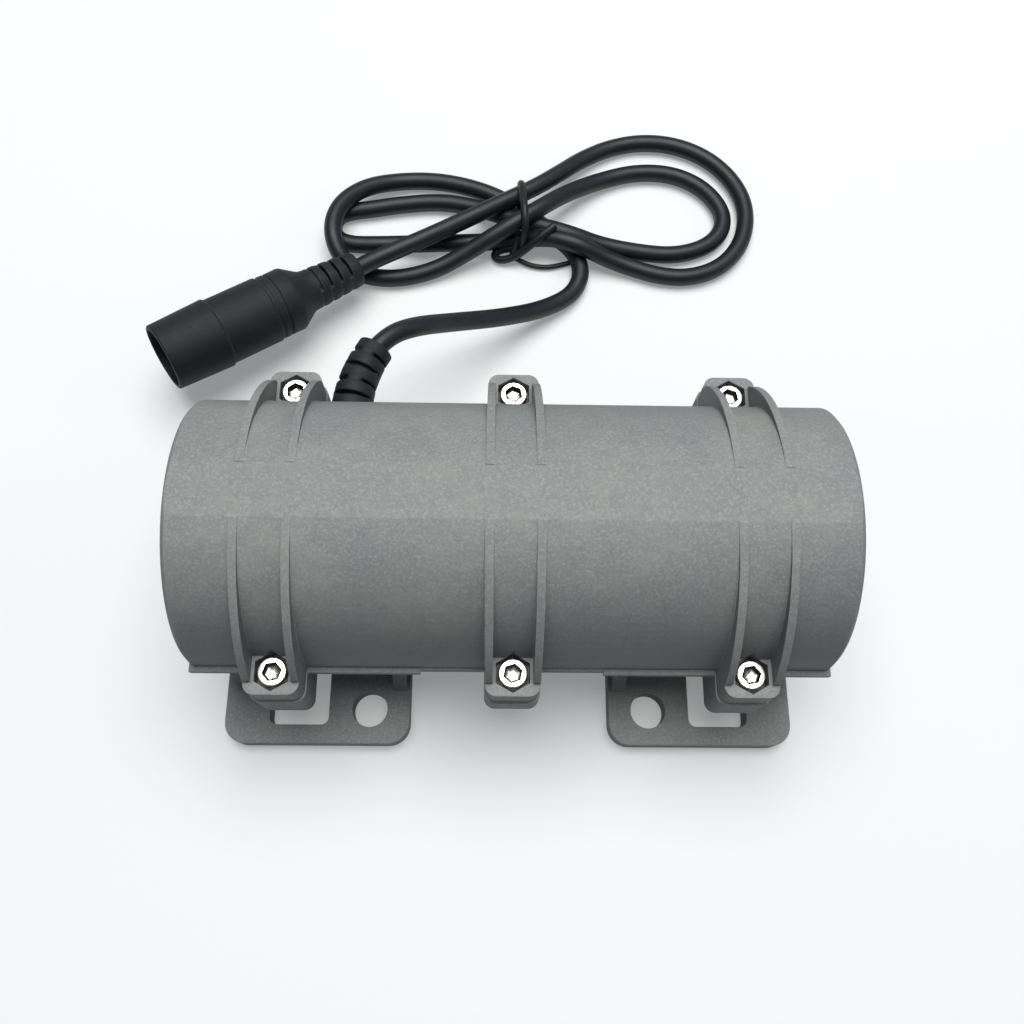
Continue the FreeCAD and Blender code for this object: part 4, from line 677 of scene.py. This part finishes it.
fasteners = fastener_tree()
cap_screws = fasteners.run("cap_screws", screw_places("screw_places", AXIS_HEIGHT + HEAD_SEAT),
                           Fastener=one_screw, Most_turn=1.0, Seed=4,
                           Finish=screw_finish.material)
nuts = fasteners.run("nuts", screw_places("nut_places", AXIS_HEIGHT - NUT_SEAT - NUT_HEIGHT),
                     Fastener=one_nut, Most_turn=0.0, Seed=1, Finish=nut_finish.material)
for pattern in (one_screw, one_nut):
    bpy.data.objects.remove(pattern, do_unlink=True)
print("screws:", len(cap_screws.data.polygons), "nuts:", len(nuts.data.polygons))

# %% [markdown]
# ## The strain relief
# Where the cord leaves the barrel, a rubber strain relief stops it from kinking: a core tube
# with five thick rings, joined by short webs that lie across and upright by turns, so it bends
# a little either way. All of it follows one arc, which is a rule Geometry Nodes can draw: the
# core is a circle swept along the arc, and rings and webs are set on points of it.

# %% Strain relief
BEND_RADIUS, RING_COUNT = 27.75 * MM, 5
BEND_ANGLE, RING_STEP = 32.0, 6.6                              # in degrees
GLAND_X, WALL_OUTSIDE = -31.8 * MM, 25.01 * MM
RING_RADIUS, RING_TAPER, CORE_RADIUS = 4.05 * MM, 0.09 * MM, 2.6 * MM
RING_WIDTH = 0.75 * BEND_RADIUS * math.radians(RING_STEP)
RING_EDGE, ARC_POINTS = 0.3 * MM, 24
WEB_WIDE, WEB_THICK, WEB_LONG = RING_RADIUS - 0.12 * MM, 1.6 * MM, 0.9 * MM   # half sizes
FIRST_RING = BEND_ANGLE / RING_STEP - RING_COUNT + 0.59        # in steps from the wall


def one_ring():
    half = RING_WIDTH / 2
    above = rounded_edge(half - RING_EDGE, RING_RADIUS, RING_EDGE)
    rings = [(-half, None), (-half, round_ring(RING_RADIUS - RING_EDGE))]
    rings += [(-height, reach) for height, reach in reversed(above)] + above + [(half, None)]
    return ring_stack("one_ring", rings, count=48, sharp=60)


def one_web():
    """A block nearly as wide as a ring, with rounded sides, across the gap."""
    def rim(angle):
        x, y = abs(math.cos(angle)), abs(math.sin(angle))
        return ((x / WEB_WIDE) ** 6 + (y / WEB_THICK) ** 6) ** (-1 / 6)
    return ring_stack("one_web", [(-WEB_LONG, None), (-WEB_LONG, rim), (WEB_LONG, rim),
                                  (WEB_LONG, None)], count=48, sharp=50)


def strain_relief_tree():
    tree = Tree("strain_relief", {"Base": "NodeSocketGeometry",
                                  "Bend radius": "NodeSocketFloat",
                                  "Step": "NodeSocketFloat", "Ring": "NodeSocketObject",
                                  "Web": "NodeSocketObject", "Taper": "NodeSocketFloat",
                                  "Core radius": "NodeSocketFloat",
                                  "Finish": "NodeSocketMaterial"})

    def arc(first, last):
        """Part of the bend, from one multiple of the ring step to another."""
        begin = tree.math("MULTIPLY_ADD", tree["Step"], -first, math.pi)
        sweep = tree.math("MULTIPLY", tree["Step"], first - last)
        return tree.add("GeometryNodeCurveArc", {"mode": "RADIUS"}, Resolution=ARC_POINTS,
                        Radius=tree["Bend radius"], Start_Angle=begin, Sweep_Angle=sweep)

    def on_points(curve, count, shape, quarter_turns):
        """Copies along a curve, each turned a quarter from the last where asked."""
        places = tree.add("GeometryNodeCurveToPoints", {"mode": "COUNT"}, Curve=curve,
                          Count=count)
        tangent = places.node.outputs["Tangent"]
        facing = tree.add("FunctionNodeAxesToRotation",
                          {"primary_axis": "Z", "secondary_axis": "Y"},
                          Primary_Axis=tangent, Secondary_Axis=(0, 0, 1))
        number = tree.add("GeometryNodeInputIndex")
        angle = tree.math("MULTIPLY", number, quarter_turns * math.pi / 2)
        spin = tree.add("FunctionNodeAxisAngleToRotation", Axis=(0, 0, 1), Angle=angle)
        turned = tree.add("FunctionNodeRotateRotation", {"rotation_space": "LOCAL"},
                          Rotation=facing, Rotate_By=spin)
        smaller = tree.math("MULTIPLY_ADD", number, tree["Taper"], 1.0)
        scale = tree.add("ShaderNodeCombineXYZ", X=smaller, Y=smaller, Z=1.0)
        return tree.add("GeometryNodeInstanceOnPoints", Points=places, Instance=shape,
                        Rotation=turned, Scale=scale)

    ring = tree.add("GeometryNodeObjectInfo", Object=tree["Ring"], out="Geometry")
    web = tree.add("GeometryNodeObjectInfo", Object=tree["Web"], out="Geometry")
    profile = tree.add("GeometryNodeCurvePrimitiveCircle", {"mode": "RADIUS"}, Resolution=40,
                       Radius=tree["Core radius"])
    core = tree.add("GeometryNodeCurveToMesh", Curve=arc(0.0, BEND_ANGLE / RING_STEP),
                    Profile_Curve=profile, Fill_Caps=True)
    smooth = tree.add("GeometryNodeSetShadeSmooth", Geometry=core)
    last = FIRST_RING + RING_COUNT - 1
    rings = on_points(arc(FIRST_RING, last), RING_COUNT, ring, 0)
    webs = on_points(arc(FIRST_RING + 0.5, last - 0.5), RING_COUNT - 1, web, 1)
    everything = tree.add("GeometryNodeJoinGeometry", Geometry=[smooth, rings, webs])
    place = tree.add("GeometryNodeTransform", Geometry=everything,
                     Translation=(GLAND_X + BEND_RADIUS, WALL_OUTSIDE, AXIS_HEIGHT))
    tree.finish(place, tree["Finish"])
    return tree


ring_shape, web_shape = one_ring(), one_web()
strain_relief = strain_relief_tree().run(
    "strain_relief", bpy.data.meshes.new("empty_base"), Bend_radius=BEND_RADIUS,
    Step=math.radians(RING_STEP), Ring=ring_shape, Web=web_shape, Taper=-RING_TAPER / RING_RADIUS,
    Core_radius=CORE_RADIUS, Finish=gland_finish.material)
for pattern in (ring_shape, web_shape):
    bpy.data.objects.remove(pattern, do_unlink=True)
print("strain relief faces:", len(strain_relief.data.polygons))

# %% [markdown]
# ## The connector's boot
# Behind the connector's body come two thin rings, a shoulder and a tapered boot with slots.
# The slots are cut from above and below and leave a rib on each side, and that is what lets
# the boot bend. A slot is a ring whose radius drops only over part of the turn. Each row of
# `SLOTS` is the middle of a slot, the boot's radius there, and how deep the slot goes.

# %% Boot
MOUTH, YAW, TILT = Vector((-74.2, 42.5, 15.6)) * MM, math.radians(35.77), math.radians(8.92)
BOOT_START, BOOT_END, BODY_RADIUS = 25.1, 48.15, 7.4           # from the mouth, in mm
PROFILE = (                                    # height past the start, inset from the body
    (0, 0.5), (0.6, 0.5), (0.65, 0.3), (0.75, 0.21), (1.85, 0.21), (1.95, 0.3), (2.0, 0.7),
    (2.45, 0.7), (2.5, 0.35), (2.6, 0.25), (5.5, 0.2), (6.0, 0.35), (6.6, 0.75), (8.9, 2.25),
    (9.7, 2.65), (10.7, 2.8))
SLOTS = ((37.1, 4.62, 0.5), (39.65, 4.46, 1.4), (42.3, 4.28, 1.4), (45.0, 4.12, 1.4))
SLOT_HALF, SLOT_LIP, BOOT_TIP, TIP_EDGE = 0.34, 0.08, 3.95, 0.7
along = Vector((math.cos(YAW) * math.cos(TILT), math.sin(YAW) * math.cos(TILT),
                -math.sin(TILT)))
sideways = Vector((0, 0, 1)).cross(along).normalized()
connector_place = Matrix.Translation(MOUTH) @ Matrix((
    sideways, along.cross(sideways), along)).transposed().to_4x4()


def slotted(outer, depth):
    """A ring of radius `outer`, lower by `depth` above and below, and nicked at its sides."""
    def reach(angle):
        rib = min(1.0, max(0.0, (abs(math.cos(angle)) - 0.74) / 0.06))
        return (outer - 0.22 - depth * (1 - rib)) * MM
    return reach


def boot_rings():
    rings = [(BOOT_START * MM, None)]
    rings += [((BOOT_START + height) * MM, round_ring((BODY_RADIUS - inset) * MM))
              for height, inset in PROFILE]
    for middle, outer, depth in SLOTS:
        lip, slot = round_ring((outer - 0.04) * MM), slotted(outer, depth)
        for offset, shape in ((-SLOT_HALF - SLOT_LIP, lip), (-SLOT_HALF, slot),
                              (SLOT_HALF, slot), (SLOT_HALF + SLOT_LIP, lip)):
            rings.append(((middle + offset) * MM, shape))
        rings.append(((middle + 1.3) * MM, round_ring((outer - 0.02) * MM)))
    rings += rounded_edge((BOOT_END - TIP_EDGE) * MM, BOOT_TIP * MM, TIP_EDGE * MM)
    return rings + [(BOOT_END * MM, None)]


boot = ring_stack("connector_boot_detail", boot_rings(), connector_place, 96,
                  connector_finish, 40)
print("boot faces:", len(boot.data.polygons))

# %% [markdown]
# ## The tie
# One soft plastic strip holds the figure of eight together: over the strands and down in front,
# a second turn under them, a hook round itself whose end stands up, and a thin tail.

# %% Tie
TIE_LOOP = [(2.4, 96.3, 2.2), (2.2, 96.0, 6.2), (2.3, 93.6, 9.4), (2.6, 89.6, 10.6),
            (3.0, 84.8, 11.2), (3.2, 81.6, 9.4), (3.0, 80.0, 5.6), (2.6, 79.6, 2.0)]
TIE_HOOK = [(10.2, 82.4, 8.8), (9.2, 81.7, 8.6), (6.4, 79.8, 7.4), (3.4, 78.6, 4.6),
            (0.4, 77.7, 2.3), (-2.9, 77.6, 1.2), (-4.3, 79.3, 1.2), (-2.0, 80.9, 1.5),
            (0.8, 80.2, 2.6)]
TIE_TAIL = [(0.6, 78.6, 1.4), (3.2, 77.2, 0.9), (6.2, 76.3, 0.85), (10.0, 76.2, 0.85),
            (14.2, 77.6, 0.85)]
TIE_TURN = [(0.4, 93.6, 2.6), (0.5, 90.0, 4.6), (0.9, 86.2, 5.4), (1.3, 82.8, 4.6),
            (1.2, 80.2, 2.8), (0.4, 78.6, 1.6)]


def strip(name, points, radius):
    made = soft_line(name, [Vector(point) * MM for point in points], radius * MM, 5)
    made.data.materials.append(tie_finish.material)
    return made


tie_loop = strip("tie_loop", TIE_LOOP, 0.9)
tie_hook = strip("tie_hook", TIE_HOOK, 0.95)
tie_tail = strip("tie_tail", TIE_TAIL, 0.62)
tie_turn = strip("tie_turn", TIE_TURN, 0.95)

# %% [markdown]
# ## What rides on what
# Every piece here is fixed to the barrel's body, so all ride on `housing`. Each stands for the
# plain node in its place.

for piece, slot, stands_for in (
        (power_cord, "cord_black", ("cord_lead", "cord_hank")),
        (cap_screws, "screw_steel", ("clamp_screws",)),
        (nuts, "nut_steel", ("clamp_nuts",)),
        (strain_relief, "gland_black", ("cable_gland",)),
        (boot, "connector_black", ("connector_boot",)),
        (tie_loop, "tie_black", ("bundle_tie",)),
        (tie_turn, "tie_black", ()), (tie_hook, "tie_black", ()),
        (tie_tail, "tie_black", ())):
    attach(piece, "housing")
    if stands_for:
        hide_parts(*stands_for)
tuple(route[0])

# %% [markdown]
# ## Floor and light
# The motor lies on a white sheet under one large soft lamp, almost straight above, so the top
# of the barrel and the feet are light and the barrel's side falls into shade. The lamp stands
# where the flat screw heads mirror it to the camera. The floor is white to the camera, with a
# little plain white added, and takes the shadows; the light it throws back up is that of a
# greyer sheet, which keeps the barrel's side in shade.

# %% Floor
FLOOR_REACH, GLOW_SHARE = 3.0, 0.22


def white_sheet():
    sheet = Finish("white_sheet", grey(246), roughness=0.9)
    ray = sheet.add("ShaderNodeLightPath", {}, out="Is Camera Ray")
    glossy = sheet.add("ShaderNodeLightPath", {}, out="Is Glossy Ray")
    white = sheet.mix(sheet.noise(0.35, 2.0), grey(240), grey(250))
    sheet.drive("Base Color", sheet.mix(ray + glossy, grey(160), white))
    glow = sheet.tree.nodes.new("ShaderNodeEmission")
    glow.inputs["Strength"].default_value = 1.0
    blend = sheet.tree.nodes.new("ShaderNodeMixShader")
    sheet.tree.links.new((GLOW_SHARE * (ray + glossy)).socket, blend.inputs[0])
    sheet.tree.links.new(sheet.shader.outputs[0], blend.inputs[1])
    sheet.tree.links.new(glow.outputs[0], blend.inputs[2])
    end = next(n for n in sheet.tree.nodes if n.type == "OUTPUT_MATERIAL")
    sheet.tree.links.new(blend.outputs[0], end.inputs["Surface"])
    return sheet


floor_mesh = bpy.data.meshes.new("floor")
floor_mesh.from_pydata([(x * FLOOR_REACH, y * FLOOR_REACH, 0)
                        for x, y in ((-1, -1), (1, -1), (1, 1), (-1, 1))], [], [(0, 1, 2, 3)])
floor = bpy.data.objects.new("floor", floor_mesh)
bpy.context.scene.collection.objects.link(floor)
floor_mesh.materials.append(white_sheet().material)

# %% Light
AIM = Vector((0, 0.02, 0.02))
SKY_COLOUR, SKY_STRENGTH = (0.84, 0.91, 1.0), 0.17


def soft_lamp(name, place, size, power):
    """A round lamp aimed at the middle of the part, `size` across, with `power` in watts."""
    light = bpy.data.lights.new(name, "AREA")
    light.shape, light.size, light.energy = "DISK", size, power
    lamp = bpy.data.objects.new(name, light)
    bpy.context.scene.collection.objects.link(lamp)
    lamp.location = place
    lamp.rotation_euler = (AIM - Vector(place)).to_track_quat("-Z", "Y").to_euler()


soft_lamp("key", (0.02, 0.27, 0.94), size=0.85, power=10.2)
soft_lamp("fill", (0.8, 0.1, 0.5), size=0.5, power=0.55)
world = bpy.data.worlds.new("studio")
world.use_nodes = True
background = world.node_tree.nodes["Background"]
background.inputs["Color"].default_value = (*SKY_COLOUR, 1)
background.inputs["Strength"].default_value = SKY_STRENGTH
bpy.context.scene.world = world
bpy.context.scene.view_settings.view_transform = "Standard"
